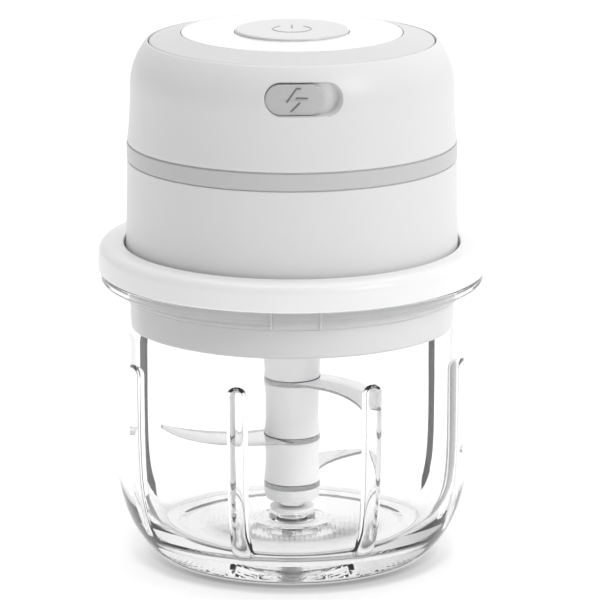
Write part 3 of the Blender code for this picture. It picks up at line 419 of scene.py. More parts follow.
def stand(name, mesh, material, body, replaced=()):
    """A finished piece that rides on a body and stands for CAD nodes."""
    piece = bpy.data.objects.new(name, mesh)
    bpy.context.scene.collection.objects.link(piece)
    mesh.materials.append(material)
    mesh.shade_smooth()
    mesh.set_sharp_from_angle(angle=math.radians(SHARP_DEG))
    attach(piece, body)
    if replaced:
        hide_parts(*replaced)
    return piece


def filleted(points):
    """An outline whose points (a, b, radius) with a third value are rounded by an arc."""
    outline = []
    for index, point in enumerate(points):
        if len(point) == 2:
            outline.append(Vector(point))
            continue
        corner = Vector(point[:2])
        before = (Vector(points[index - 1][:2]) - corner).normalized()
        after = (Vector(points[(index + 1) % len(points)][:2]) - corner).normalized()
        half = before.angle(after) / 2
        reach = point[2] / math.tan(half)
        centre = corner + (before + after).normalized() * point[2] / math.sin(half)
        start = corner + before * reach - centre
        side = 1.0 if start.cross(corner - centre) > 0 else -1.0
        outline.append(corner + before * (reach + SUPPORT))
        for step in range(ARC_STEPS + 1):
            angle = side * (math.pi - 2 * half) * step / ARC_STEPS
            cos, sin = math.cos(angle), math.sin(angle)
            outline.append(centre + Vector((start.x * cos - start.y * sin, start.x * sin + start.y * cos)))
        outline.append(corner + after * (reach + SUPPORT))
    return outline


def closed_about_axis(outline):
    """Whether an outline is a loop beside the axis, not a line that starts and ends on it."""
    return not (outline[0].x < 1e-6 and outline[-1].x < 1e-6)


def lathe_mesh(name, outline, angles, shape=None):
    """A mesh turned about +Z from (radius, height) points in mm; shape(r, z, angle) may move a point."""
    area = sum(a.x * b.y - b.x * a.y for a, b in zip(outline, outline[1:] + outline[:1]))
    if area > 0:
        outline = outline[::-1]
    ring = closed_about_axis(outline)
    points, faces, rows = [], [], []
    for spot in outline:
        if spot.x < 1e-6:
            rows.append([len(points)] * len(angles))
            points.append((0.0, 0.0, spot.y * MM))
            continue
        row = []
        for angle in angles:
            r, z = shape(spot.x, spot.y, angle) if shape else (spot.x, spot.y)
            row.append(len(points))
            points.append((r * math.cos(angle) * MM, r * math.sin(angle) * MM, z * MM))
        rows.append(row)
    pairs = list(zip(rows, rows[1:])) + ([(rows[-1], rows[0])] if ring else [])
    for upper, lower in pairs:
        for step in range(len(angles)):
            after = (step + 1) % len(angles)
            corners = (upper[step], lower[step], lower[after], upper[after])
            face = tuple(dict.fromkeys(corners))
            if len(face) > 2:
                faces.append(face)
    mesh = bpy.data.meshes.new(name)
    mesh.from_pydata(points, [], faces)
    mesh.update()
    return mesh


def even_angles(steps):
    """Equal steps round a circle."""
    return [math.tau * step / steps for step in range(steps)]


def turned(name, section, material, body, replaced=(), steps=ROUND_STEPS):
    """A piece turned from a section whose corners may be rounded."""
    mesh = lathe_mesh(name, filleted(section), even_angles(steps))
    return stand(name, mesh, material, body, replaced)


def mesh_from(name, shape):
    """A mesh made from a bmesh, which it uses up."""
    mesh = bpy.data.meshes.new(name)
    shape.to_mesh(mesh)
    shape.free()
    return mesh


def stroke(name, paths, width, material, body, wrap):
    """Raised lines as thin wires sunk half into a face; wrap(x, y) places a point in mm."""
    curve = bpy.data.curves.new(name, "CURVE")
    curve.dimensions = "3D"
    curve.bevel_depth = width / 2 * MM
    curve.bevel_resolution = 3
    curve.use_fill_caps = True
    for path in paths:
        spline = curve.splines.new("POLY")
        spline.points.add(len(path) - 1)
        for point, (x, y) in zip(spline.points, path):
            point.co = (*(Vector(wrap(x, y)) * MM), 1.0)
    piece = bpy.data.objects.new(name, curve)
    bpy.context.scene.collection.objects.link(piece)
    curve.materials.append(material)
    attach(piece, body)


# ---------------------------------------------------------------- bowl

def bowl_outside(z):
    """The bowl's outer radius, a swell above the foot."""
    return BOWL_R - (BOWL_R - FOOT_R) * math.exp(-z / SWELL_H)


def bowl_inside(z):
    """The bowl's inner radius, a wide round above the floor."""
    return BOWL_IN_R - (BOWL_IN_R - FLOOR_R) * math.exp(-(z - FLOOR_Z) / FILLET_H)


def ease(value):
    """0 below 0, 1 above 1, and smooth between."""
    value = min(max(value, 0.0), 1.0)
    return value * value * (3.0 - 2.0 * value)


def rib_share(z, angle, r):
    """How much of a rib stands at a place on the inner wall, from 0 to 1: a round ridge with a domed top."""
    pitch = math.tau / RIB_COUNT
    away = (angle - math.radians(RIB_FIRST_DEG) + pitch / 2) % pitch - pitch / 2
    over = max(z - (RIB_TOP_Z - RIB_HALF_W), 0.0)
    apart = math.hypot(away * r, over) / RIB_HALF_W
    if apart >= 1.0:
        return 0.0
    return (1.0 - apart * apart) ** RIB_FULLNESS * ease((z - FLOOR_Z - 0.8) / 6.0)


def heights(lowest, highest, steps, power=1.0):
    """Heights from one to another, closer together at the bottom for a power above 1."""
    return [lowest + (highest - lowest) * (step / steps) ** power for step in range(steps + 1)]


def bowl_angles():
    """Angles packed closer where a rib's sides are."""
    pitch = 360.0 / RIB_COUNT
    first = RIB_SIDE_DEG + 1.2
    offsets = [RIB_SIDE_DEG * (2 * step / RIB_STEPS - 1) for step in range(RIB_STEPS + 1)]
    offsets += [first + (pitch - 2 * first) * step / BETWEEN_STEPS for step in range(BETWEEN_STEPS + 1)]
    return [math.radians(RIB_FIRST_DEG + index * pitch + offset)
            for index in range(RIB_COUNT) for offset in offsets]


def bowl():
    """The clear bowl in one piece, from the pin's hole over the floor, wall and rim to the underside."""
    boss_z = low("thrust_washer") - GAP
    pin_z = low("spindle_pin") - PRESSED
    bore = PIN_R + PRESSED
    rim_z = BOWL_H - RIM_H
    disc_z = FLOOR_Z + FLOOR_DISC_STEP
    start = [(0.0, pin_z), (bore, pin_z), (bore, boss_z), (BOSS_R, boss_z, 0.4), (BOSS_R, disc_z, 0.5),
             (BEAD_R - 0.7, disc_z), (BEAD_R - 0.3, disc_z + 0.8 * BEAD_H), (BEAD_R, disc_z + BEAD_H),
             (BEAD_R + 0.3, disc_z + 0.8 * BEAD_H), (BEAD_R + 0.7, disc_z), (FLOOR_DISC_R, disc_z, 0.1),
             (FLOOR_DISC_R, FLOOR_Z, 0.1), (FLOOR_R - 0.1, FLOOR_Z)]
    wall = [Vector((bowl_inside(z), z)) for z in heights(FLOOR_Z + 0.02, RIB_TOP_Z - 4.0, 56, 1.8)]
    wall += [Vector((bowl_inside(z), z)) for z in heights(RIB_TOP_Z - 3.9, RIB_TOP_Z + 0.2, 26)]
    rim = filleted([(BOWL_IN_R, rim_z - 2.0), (BOWL_IN_R, BOWL_H, 0.5), (RIM_R, BOWL_H, 0.3),
                    (RIM_R, rim_z, 0.9), (BOWL_R, rim_z, 0.8), (BOWL_R, rim_z - 4.0)])
    skin = [Vector((bowl_outside(z), z)) for z in heights(FOOT_Z, rim_z - 4.2, 62, 1.7)][::-1]
    foot = filleted([(bowl_outside(FOOT_Z), FOOT_Z), (FOOT_R - 0.6, 0.0, 0.7), (RECESS_R, 0.0, 0.4)])
    foot += [Vector((RECESS_R - 0.4 - 3.6 * step / 8, RECESS_H * ease(0.1 + 0.9 * step / 8)))
             for step in range(9)]
    foot += [Vector((RECESS_R - 5.0, RECESS_H)), Vector((0.0, RECESS_H))]
    outline = filleted(start) + wall + rim + skin + foot[1:]
    inner_top = RIB_TOP_Z + 0.3

    def ribbed(r, z, angle):
        if z > inner_top or r < FLOOR_R - 0.1 or z < FLOOR_Z or r > bowl_inside(max(z, FLOOR_Z)) + 0.05:
            return r, z
        return r - RIB_DEPTH * rib_share(z, angle, r), z

    mesh = lathe_mesh("bowl_clear", outline, bowl_angles(), ribbed)
    stand("bowl_clear", mesh, CLEAR, "bowl_base", ["bowl"])


def spindle():
    """The pin in the bowl's floor, and the washer the blades stand on."""
    top, bottom = high("spindle_pin"), low("spindle_pin")
    section = [(0.0, top), (PIN_R, top, 1.0), (PIN_R, bottom, 0.3), (0.0, bottom)]
    turned("spindle_rod", section, PIN_STEEL, "bowl_base", ["spindle_pin"], SMALL_STEPS)
    washer_low, washer_high = low("thrust_washer"), high("thrust_washer")
    washer_r = radius("thrust_washer")
    section = [(washer_r, washer_high, 0.2), (washer_r, washer_low, 0.2), (PIN_R + RUNNING, washer_low),
               (PIN_R + RUNNING, washer_high)]
    turned("spindle_washer", section, GLOSS, "blade_seat", ["thrust_washer"], SMALL_STEPS)


# ---------------------------------------------------------------- blade unit

def bezier(controls, share):
    """A place along a curve with four control points."""
    rest = 1 - share
    weights = (rest ** 3, 3 * share * rest ** 2, 3 * share * share * rest, share ** 3)
    return Vector([sum(w * c[axis] for w, c in zip(weights, controls)) for axis in (0, 1)])


def blade_mesh(name, z, thickness, degrees):
    """A sickle with a ground leading edge and a round eye, made as strips across its width."""
    rows = []
    for step in range(BLADE_STEPS):
        share = step / BLADE_STEPS
        lead, trail = bezier(BLADE_LEAD, share), bezier(BLADE_TRAIL, share)
        across = trail - lead
        width = max(across.length, 1e-6)
        ground = lead + across * min(GRIND_W / width, 0.55)
        rows.append((lead, ground, trail - across * min(BACK_W / width, 0.2), trail))
    half = thickness / 2
    drops = (EDGE_T, half, half, half - BACK_DROP)
    shape = bmesh.new()
    turn = math.radians(degrees)
    cos, sin = math.cos(turn), math.sin(turn)

    def corner(spot, drop):
        x, y = spot.x * cos - spot.y * sin, spot.x * sin + spot.y * cos
        return shape.verts.new((x * MM, y * MM, (z + drop) * MM))

    sides = []
    for sign in (1.0, -1.0):
        grid = [[corner(spot, sign * drop) for spot, drop in zip(row, drops)] for row in rows]
        sides.append(grid)
        for before, after in zip(grid, grid[1:]):
            for index in range(3):
                face = (before[index], before[index + 1], after[index + 1], after[index])
                shape.faces.new(face if sign < 0 else face[::-1])
    upper, lower = sides
    end = corner(Vector(BLADE_TIP), 0.0)
    for index in range(3):
        shape.faces.new((upper[-1][index + 1], upper[-1][index], end))
        shape.faces.new((lower[-1][index], lower[-1][index + 1], end))
    for edge in (0, 3):
        shape.faces.new((upper[-1][edge], lower[-1][edge], end))
        for before, after, under_before, under_after in zip(upper, upper[1:], lower, lower[1:]):
            shape.faces.new((before[edge], under_before[edge], under_after[edge], after[edge]))
    shape.faces.new(upper[0] + lower[0][::-1])
    add_ring(shape, CORE_R, HUB_R + 0.02, z - half, z + half)
    bmesh.ops.recalc_face_normals(shape, faces=shape.faces)
    return mesh_from(name, shape)


def add_ring(shape, inner, outer, bottom, top):
    """A plain ring in mm, added to a bmesh."""
    loops = []
    for r, z in ((outer, top), (outer, bottom), (inner, bottom), (inner, top)):
        loops.append([shape.verts.new((r * math.cos(a) * MM, r * math.sin(a) * MM, z * MM))
                      for a in even_angles(SMALL_STEPS)])
    for first, second in zip(loops, loops[1:] + loops[:1]):
        join_rings(shape, first, second)


def join_rings(shape, first, second):
    """Faces between two rings with as many points."""
    for step in range(len(first)):
        after = (step + 1) % len(first)
        shape.faces.new((first[step], second[step], second[after], first[after]))


def hexagon(angle):
    """A hexagon's edge at an angle, as a share of its largest radius."""
    return math.cos(SEXTANT / 2) / math.cos(angle % SEXTANT - SEXTANT / 2)


def hex_socket(r, z, angle):
    """Turns the round bore of the drive socket into a six-sided one."""
    if not SOCKET_R - 0.01 < r < SOCKET_R + 0.31:
        return r, z
    return r - SOCKET_R + SOCKET_R * hexagon(angle), z


def blade_unit():
    """The three blades and the hub they are stacked in."""
    for index, degrees in enumerate(BLADE_DEG):
        node = f"blade_{index + 1}"
        thickness = high(node) - low(node)
        mesh = blade_mesh(f"sickle_{index + 1}", middle(node, 2), thickness, degrees)
        stand(f"sickle_{index + 1}", mesh, STEEL, "blade_unit", [node])
    top, head_z = high("hub_core"), high("blade_1") + 0.1
    socket_z = top - SOCKET_DEPTH
    section = [(HUB_R, top, 0.6), (HUB_R, head_z + 2.5), (HUB_R - 0.15, head_z + 1.6), (HUB_R, head_z, 0.3),
               (CORE_R - 0.3, head_z), (CORE_R - 0.3, low("hub_core")), (PIN_R + RUNNING, low("hub_core")),
               (PIN_R + RUNNING, socket_z), (SOCKET_R, socket_z), (SOCKET_R, top - 0.3), (SOCKET_R + 0.3, top)]
    mesh = lathe_mesh("hub_head", filleted(section), even_angles(SMALL_STEPS), hex_socket)
    stand("hub_head", mesh, HUB_WHITE, "blade_unit", ["hub_core"])
    for index in (1, 2):
        bottom, lid_z = high(f"blade_{index + 1}") + 0.1, low(f"blade_{index}") - 0.1
        waist = HUB_R - 0.35
        section = [(HUB_R, lid_z, 0.3), (HUB_R - 0.1, lid_z - 1.0), (waist, lid_z - 3.0),
                   (waist, bottom + 3.0), (HUB_R - 0.1, bottom + 1.0), (HUB_R, bottom, 0.3), (CORE_R, bottom),
                   (CORE_R, lid_z)]
        turned(f"hub_sleeve_{index}", section, HUB_WHITE, "blade_unit", [f"hub_spacer_{index}"],
               SMALL_STEPS)
    bottom, lid_z = low("hub_foot") + 0.6, low("blade_3") - 0.1
    section = [(HUB_R, lid_z, 0.3), (HUB_R - 0.05, lid_z - 1.4, 0.8), (HUB_R - 0.5, bottom, 0.7),
               (CORE_R, bottom), (CORE_R, lid_z)]
    turned("hub_tail", section, HUB_WHITE, "blade_unit", ["hub_foot"], SMALL_STEPS)
    bottom, lid_z, bush_r = low("hub_bush"), high("hub_bush"), radius("hub_bush")
    neck_r = (bush_r + PIN_R) / 2
    section = [(bush_r, lid_z, 0.1), (bush_r, lid_z - 0.6, 0.1), (neck_r, lid_z - 0.6), (neck_r, bottom, 0.2),
               (PIN_R + RUNNING, bottom), (PIN_R + RUNNING, lid_z)]
    turned("hub_metal_bush", section, PIN_STEEL, "blade_unit", ["hub_bush"], SMALL_STEPS)


# ---------------------------------------------------------------- lid

def curved_patch(name, material, body, r, half_degrees, middle_degrees, bottom, top, thickness):
    """A raised pad on a round wall."""
    steps = 24
    shape = bmesh.new()
    columns = []
    for step in range(steps + 1):
        angle = math.radians(middle_degrees + half_degrees * (2 * step / steps - 1))
        corners = ((r - 0.2, bottom), (r + thickness, bottom), (r + thickness, top), (r - 0.2, top))
        columns.append([shape.verts.new((out * math.cos(angle) * MM, out * math.sin(angle) * MM, z * MM))
                        for out, z in corners])
    for before, after in zip(columns, columns[1:]):
        for index in range(4):
            other = (index + 1) % 4
            shape.faces.new((before[index], after[index], after[other], before[other]))
    shape.faces.new(columns[0])
    shape.faces.new(columns[-1][::-1])
    bmesh.ops.recalc_face_normals(shape, faces=shape.faces)
    piece = stand(name, mesh_from(name, shape), material, body)
    bevel = piece.modifiers.new("soft_edges", "BEVEL")
    bevel.width = 0.1 * MM
    bevel.segments = 2
    bevel.limit_method = "ANGLE"


def lid():
    """The lid with its seal, its bush, and the pads and bars on its skirt."""
    top, floor_z, bottom = high("lid"), high("lid_bush"), low("lid")
    collar_z = BOWL_H + 0.1
    ledge = BOWL_H + GAP + LEDGE_T
    bush_r = radius("lid_bush") + PRESSED
    seal_low, seal_high = low("lid_seal"), high("lid_seal")
    groove = SKIRT_R - 1.1
    section = [(COLLAR_R - 0.2, top, 2.3), (COLLAR_R, collar_z, 0.5), (SKIRT_R, collar_z, 0.3),
               (SKIRT_R, seal_high + 0.03), (groove, seal_high + 0.03), (groove, seal_low - 0.03),
               (SKIRT_R, seal_low - 0.03), (SKIRT_R - 0.3, bottom, 0.8), (bush_r, bottom), (bush_r, floor_z),
               (SKIRT_R - LID_WALL, floor_z, 0.8), (SKIRT_R - LID_WALL, ledge, 0.3), (WELL_R, ledge),
               (WELL_R, top, 0.5)]
    turned("lid_shell", section, LID_WHITE, "lid", ["lid"])
    lip = radius("lid_seal")
    section = [(groove + 0.1, seal_high, 0.1), (SKIRT_R, seal_high, 0.2),
               (lip, (seal_low + seal_high) / 2, 0.25), (SKIRT_R, seal_low, 0.2), (groove + 0.1, seal_low, 0.1)]
    turned("lid_seal_ring", section, SEAL, "lid", ["lid_seal"])
    section = [(bush_r, floor_z), (bush_r, bottom), (HUB_R + RUNNING, bottom, 0.3),
               (HUB_R + RUNNING, floor_z, 0.3)]
    turned("lid_bush_ring", section, GLOSS, "lid", ["lid_bush"], SMALL_STEPS)
    for index in range(4):
        curved_patch(f"lid_grip_{index + 1}", LID_WHITE, "lid", SKIRT_R, 8.0, -88.5 + 90.0 * index,
                     seal_high - 0.6, collar_z - 0.2, 0.5)
    for index, x in enumerate((-4.1, 5.9)):
        curved_patch(f"lid_tab_{index + 1}", GLOSS, "lid", SKIRT_R, 0.35, -90.0 + math.degrees(x / SKIRT_R),
                     seal_high - 1.0, collar_z - 0.2, 1.1)


# ---------------------------------------------------------------- power unit casing

def slot_distance(x, z, width, height):
    """How far (x, z) lies outside a slot with round ends; negative inside."""
    reach = (width - height) / 2
    return math.hypot(max(abs(x) - reach, 0.0), z) - height / 2


def casing_angles(middle_degrees, half_degrees, fine_steps, coarse_steps):
    """Angles around the casing, packed closer about one direction."""
    fine = [middle_degrees + half_degrees * (2 * step / fine_steps - 1) for step in range(fine_steps)]
    span = 360.0 - 2 * half_degrees
    coarse = [middle_degrees + half_degrees + span * step / coarse_steps for step in range(coarse_steps)]
    return [math.radians(angle) for angle in fine + coarse]


def shoulder(z):
    """The upper casing's radius where its top rounds in."""
    share = max((z - SHOULDER_Z) / SHOULDER_H, 0.0)
    return NECK_R - SHOULDER_IN * share ** SHOULDER_POWER


def casing_outside(z, bottom):
    """The upper casing's radius: a draft that fades out, then the rounded shoulder."""
    share = min((z - bottom) / (SHOULDER_Z - bottom), 1.0)
    return shoulder(z) + (CASE_TOP_R - NECK_R) * (1.0 - share) ** 2


def lower_housing():
    """The lower casing, with the spigot that stands in the lid's well."""
    top, spigot_z, foot = high("lower_housing"), low("lower_housing"), BOWL_H + 2 * GAP + LEDGE_T
    section = [(CASE_TOP_R, top, 0.25), (CASE_R, foot, 0.5), (SPIGOT_R, foot, 0.3), (SPIGOT_R, spigot_z),
               (SPIGOT_R - CASE_WALL, spigot_z), (SPIGOT_R - CASE_WALL, foot + CASE_WALL),
               (CASE_R - CASE_WALL, foot + CASE_WALL), (CASE_TOP_R - CASE_WALL, top)]
    turned("lower_casing", section, SATIN, "power_unit", ["lower_housing"])


def accent_band():
    """The band between the two casings, with the sleeve behind it."""
    bottom, top = high("lower_housing") + GAP, low("upper_housing") - GAP
    sleeve = CASE_TOP_R - CASE_WALL - GAP
    lip_r, lip = BAND_R - 0.35, GAP - 0.05
    section = [(BAND_R, top, 0.15), (BAND_R, bottom, 0.15), (lip_r, bottom), (lip_r, bottom - lip),
               (sleeve, bottom - lip), (sleeve, low("accent_band")),
               (sleeve - 1.0, low("accent_band")), (sleeve - 1.0, high("accent_band")),
               (sleeve - 0.3, high("accent_band")), (sleeve - 0.3, top + lip), (lip_r, top + lip), (lip_r, top)]
    turned("silver_band", section, BAND, "power_unit", ["accent_band"])


def upper_housing():
    """The upper casing, with the port's recess and the opening in front of the socket."""
    bottom, top = low("upper_housing"), high("upper_housing")
    seat_r = TRIM_R + GAP
    trim_seat = low("trim_ring") - 0.1
    step_z = low("circuit_board") - 1.0
    port_low, port_high = PORT_Z - PORT_H / 2 - 0.6, PORT_Z + PORT_H / 2 + 0.6
    rise = heights(bottom + 0.25, port_low, 16) + heights(port_low, port_high, 64)[1:]
    rise += heights(port_high, top - 0.1, 14)[1:]
    outline = [Vector((CASE_TOP_R - 0.25, bottom)), Vector((CASE_TOP_R - 0.08, bottom + 0.07))]
    outline += [Vector((casing_outside(z, bottom), z)) for z in rise]
    outline += [Vector((shoulder(top) - 0.08, top)), Vector((seat_r + 0.02, top)), Vector((seat_r, top - 0.15))]
    outline += [Vector((seat_r, trim_seat)), Vector((SHOULDER_IN_R, trim_seat))]
    outline += [Vector((SHOULDER_IN_R, z)) for z in heights(step_z, port_high, 24)[::-1]]
    outline += [Vector((NECK_R - CASE_WALL, step_z)), Vector((CASE_TOP_R - CASE_WALL, bottom))]

    def recessed(r, z, angle):
        if r < SHOULDER_IN_R + 0.5 or math.sin(angle) > 0 or not port_low < z < port_high:
            return r, z
        x = r * math.cos(angle)
        inside = -slot_distance(x - PORT_X, z - PORT_Z, PORT_W, PORT_H)
        deep = -slot_distance(x - COVER_X, z - SOCKET_Z, MOUTH_W, MOUTH_H)
        floor_r = PORT_R + (SHOULDER_IN_R - PORT_R) * ease(deep / MOUTH_EDGE + 0.5)
        return r + (floor_r - r) * ease(inside / PORT_EDGE + 0.5), z

    mesh = lathe_mesh("upper_casing", outline, casing_angles(-86.0, 16.0, 130, 200), recessed)
    shape = bmesh.new()
    shape.from_mesh(mesh)
    hole = []
    for face in shape.faces:
        centre = face.calc_center_median() / MM
        if centre.y < 0 and math.hypot(centre.x, centre.y) < SHOULDER_IN_R + 0.25:
            if slot_distance(centre.x - COVER_X, centre.z - SOCKET_Z, MOUTH_W, MOUTH_H) < -MOUTH_EDGE / 2:
                hole.append(face)
    bmesh.ops.delete(shape, geom=hole, context="FACES")
    shape.to_mesh(mesh)
    shape.free()
    stand("upper_casing", mesh, SATIN, "power_unit", ["upper_housing"])


def port_cover():
    """The soft flap: a slot-shaped pad with a rounded edge, bent round the casing."""
    width = (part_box("port_cover")[1][0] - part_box("port_cover")[0][0]) / MM
    height = high("port_cover") - low("port_cover")
    reach = (width - height) / 2
    shape = bmesh.new()
    spots, rings = [], []
    for depth, inset in COVER_EDGE:
        end_r = height / 2 - inset
        spots.append([((reach if math.cos(angle) >= 0 else -reach) + end_r * math.cos(angle),
                       end_r * math.sin(angle)) for angle in even_angles(COVER_STEPS)])
        rings.append([shape.verts.new(cover_point(x, z, COVER_OUT_R - depth)) for x, z in spots[-1]])
    for first, second in zip(rings, rings[1:]):
        join_rings(shape, first, second)
    fill_slot(shape, rings[0], spots[0], COVER_OUT_R)
    fill_slot(shape, rings[-1], spots[-1], COVER_OUT_R - COVER_T)
    bmesh.ops.recalc_face_normals(shape, faces=shape.faces)
    stand("port_flap", mesh_from("port_flap", shape), RUBBER, "port_cover", ["port_cover"])


def cover_point(x, z, r):
    """A place on the cover from its own middle, bent round the casing."""
    wide = COVER_X + x
    return Vector((wide, -math.sqrt(r * r - wide * wide), PORT_Z + z)) * MM


def fill_slot(shape, edge, spots, r):
    """Fills a slot-shaped loop with shrinking rings down to its middle line."""
    last = edge
    for share in (0.85, 0.6, 0.3, 0.05):
        along = 1 - (1 - share) * 0.35 if share > 0.05 else 0.65
        row = [shape.verts.new(cover_point(x * along, z * share, r)) for x, z in spots]
        for step in range(COVER_STEPS):
            after = (step + 1) % COVER_STEPS
            shape.faces.new((last[step], last[after], row[after], row[step]))
        last = row
    shape.faces.new(last)


def base_plate():
    """The power unit's base with its three screws, its bearing and the hole for the safety plunger."""
    bottom, top = low("base_plate"), high("base_plate")
    bearing_r = radius("output_bearing")
    section = [(SPIGOT_R, top, 0.2), (SPIGOT_R, bottom, 0.6), (bearing_r + 0.1, bottom), (bearing_r + 0.1, top)]
    plate = turned("unit_base", section, SATIN, "power_unit", ["base_plate"])
    for index in range(3):
        node = f"base_screw_{index + 1}"
        cup_screw(f"base_fastener_{index + 1}", node, plate, bottom)
    safety_tip(plate)
    section = [(bearing_r, top), (bearing_r, bottom, 0.2), (BEARING_BORE_R, bottom, 0.2), (BEARING_BORE_R, top)]
    turned("unit_bearing", section, BRONZE, "power_unit", ["output_bearing"], SMALL_STEPS)


def drive_parts():
    """The six-sided dog on the motor's shaft."""
    bottom, top = low("drive_coupling"), high("drive_coupling")
    coupling_r, shaft_z = radius("drive_coupling"), top - 5.5
    shoulder_z = low("base_plate") - 0.2
    section = [(coupling_r, top, 0.3), (coupling_r, shoulder_z, 0.3), (DOG_R, shoulder_z), (DOG_R, bottom + 0.8),
               (DOG_R - 0.5, bottom + 0.1), (DOG_R - 0.8, bottom), (0.0, bottom), (0.0, shaft_z),
               (SHAFT_BORE_R, shaft_z), (SHAFT_BORE_R, top, 0.2)]

    def hexed(r, z, angle):
        if z > shoulder_z - 0.1 or r < 1.0:
            return r, z
        return r * hexagon(angle), z

    mesh = lathe_mesh("drive_dog", filleted(section), even_angles(SMALL_STEPS), hexed)
    stand("drive_dog", mesh, GLOSS, "rotor", ["drive_coupling"])


def safety_tip(plate):
    """The spring-loaded plunger that feels for the lid, in its hole in the base."""
    x, y, flange_r = middle("safety_plunger", 0), middle("safety_plunger", 1), radius("safety_plunger")
    bottom, top = low("safety_plunger"), high("safety_plunger")
    peg_r = flange_r - PLUNGER_FLANGE
    round_cut(plate, "plunger_hole", (x, y, middle("base_plate", 2)), peg_r + GAP, 12.0)
    flange_z = high("base_plate") + GAP
    section = [(0.0, top), (peg_r, top, 0.15), (peg_r, flange_z + 1.0), (flange_r, flange_z + 1.0, 0.2),
               (flange_r, flange_z, 0.2), (peg_r, flange_z), (peg_r, bottom + 1.1, 0.4),
               (peg_r - 0.5, bottom, 0.5), (0.0, bottom)]
    peg = turned("safety_tip", section, RUBBER, "safety_plunger", ["safety_plunger"], PEG_STEPS)
    shift(peg, x, y)


def shift(piece, x, y):
    """Moves a mesh sideways, in mm."""
    for vertex in piece.data.vertices:
        vertex.co.x += x * MM
        vertex.co.y += y * MM


def round_cut(piece, name, place, r, depth):
    """Cuts a round hole, centred at a place."""
    shape = bmesh.new()
    bmesh.ops.create_cone(shape, cap_ends=True, segments=32, radius1=r * MM, radius2=r * MM, depth=depth * MM)
    cut_away(piece, mesh_from(name, shape), Vector(place) * MM)


def cup_screw(name, node, plate, face_z):
    """A cross-headed screw sunk in a round pocket of the plate."""
    x, y, head_r = middle(node, 0), middle(node, 1), radius(node)
    head_z = low(node)
    round_cut(plate, name + "_pocket", (x, y, face_z - 0.1), head_r + 0.4, 3.0)
    section = [(0.0, head_z + 1.0), (head_r, head_z + 1.0), (head_r, head_z + 0.4, 0.15),
               (head_r * 0.55, head_z, 0.3), (0.0, head_z)]
    screw = turned(name, section, ZINC, "power_unit", (), PEG_STEPS)
    shift(screw, x, y)
    for turn in (0.0, math.pi / 2):
        shape = bmesh.new()
        bmesh.ops.create_cube(shape, size=1.0)
        bmesh.ops.scale(shape, vec=(head_r * 1.1 * MM, 0.45 * MM, 0.8 * MM), verts=shape.verts)
        cut_away(screw, mesh_from(name + "_slot", shape), (x * MM, y * MM, head_z * MM), turn + 0.4)


def cut_away(piece, mesh, place, turn=0.0):
    """Cuts a mesh, put at a place in metres and turned, out of the piece for good."""
    tool = bpy.data.objects.new(mesh.name, mesh)
    bpy.context.scene.collection.objects.link(tool)
    tool.location = place
    tool.rotation_euler.z = turn
    step = piece.modifiers.new("cut", "BOOLEAN")
    step.operation = "DIFFERENCE"
    step.solver = "EXACT"
    step.object = tool
    bpy.context.view_layer.update()
    graph = bpy.context.evaluated_depsgraph_get()
    cut = bpy.data.meshes.new_from_object(piece.evaluated_get(graph))
    old = piece.data
    piece.modifiers.remove(step)
    piece.data = cut
    cut.name = old.name + "_cut"
    bpy.data.meshes.remove(old)
    cut.shade_smooth()
    cut.set_sharp_from_angle(angle=math.radians(SHARP_DEG))
    bpy.data.objects.remove(tool, do_unlink=True)


# ---------------------------------------------------------------- power unit top

def trim_ring():
    """The silver ring round the top plate."""
    bottom, case_top, top = low("trim_ring"), high("upper_housing"), high("trim_ring")
    inner = PLATE_R - 0.45
    plate_low = top - PLATE_T
    section = [(TRIM_R, case_top, 0.5), (TRIM_R, bottom), (inner - 2.0, bottom), (inner - 2.0, plate_low - 0.2),
               (inner, plate_low - 0.2), (inner, top, 0.2)]
    turned("bevelled_ring", section, TRIM, "power_unit", ["trim_ring"])


def top_plate():
    """The glossy plate round the button."""
    top = high("top_plate")
    bottom = top - PLATE_T
    rim_r, hole_r = PLATE_R - 0.6, BUTTON_R + 0.12
    section = [(rim_r, top, 0.2), (rim_r, bottom), (hole_r, bottom), (hole_r, top, 0.2)]
    turned("gloss_disc", section, GLOSS, "power_unit", ["top_plate"])


def power_button():
    """The button, a little lower than the CAD's, with its cap, flange and stem, and its symbol."""
    top, bottom = high("power_button") - 0.25, low("power_button")
    face_z = top - BUTTON_CAP_T
    flange_top = high("top_plate") - PLATE_T - GAP
    flange_r, inner = BUTTON_R + BUTTON_FLANGE, BUTTON_R - 1.3
    section = [(0.0, top - BUTTON_DISH), (3.0, top - BUTTON_DISH), (8.0, top - BUTTON_DISH * 0.55),
               (BUTTON_R - 1.2, top - 0.02), (BUTTON_R, top, 0.55), (BUTTON_R, flange_top),
               (flange_r, flange_top), (flange_r, flange_top - 1.0), (inner, flange_top - 1.0),
               (inner, face_z), (STEM_R, face_z), (STEM_R, bottom), (0.0, bottom)]
    turned("push_button", section, BUTTON, "power_button", ["power_button"])
    span = 360 - 2 * RING_GAP_DEG
    ring = [(RING_R * math.cos(a), RING_R * math.sin(a)) for a in
            (math.radians(90 + RING_GAP_DEG + span * step / 60) for step in range(61))]
    stroke("button_symbol", [ring, BAR], 0.55, PALE_MARK, "power_button",
           lambda x, y: (x, y, top - BUTTON_DISH * (1 - math.hypot(x, y) / 20.0) - 0.16))


def port_symbol():
    """A plain lightning bolt in three strokes."""
    def on_cover(x, z):
        wide = COVER_X + BOLT_X + x
        r = COVER_OUT_R - 0.02
        return wide, -math.sqrt(r * r - wide * wide), PORT_Z + z

    stroke("port_symbol", BOLT, 0.34, MARK, "port_cover", on_cover)


# ---------------------------------------------------------------- stage, light and camera

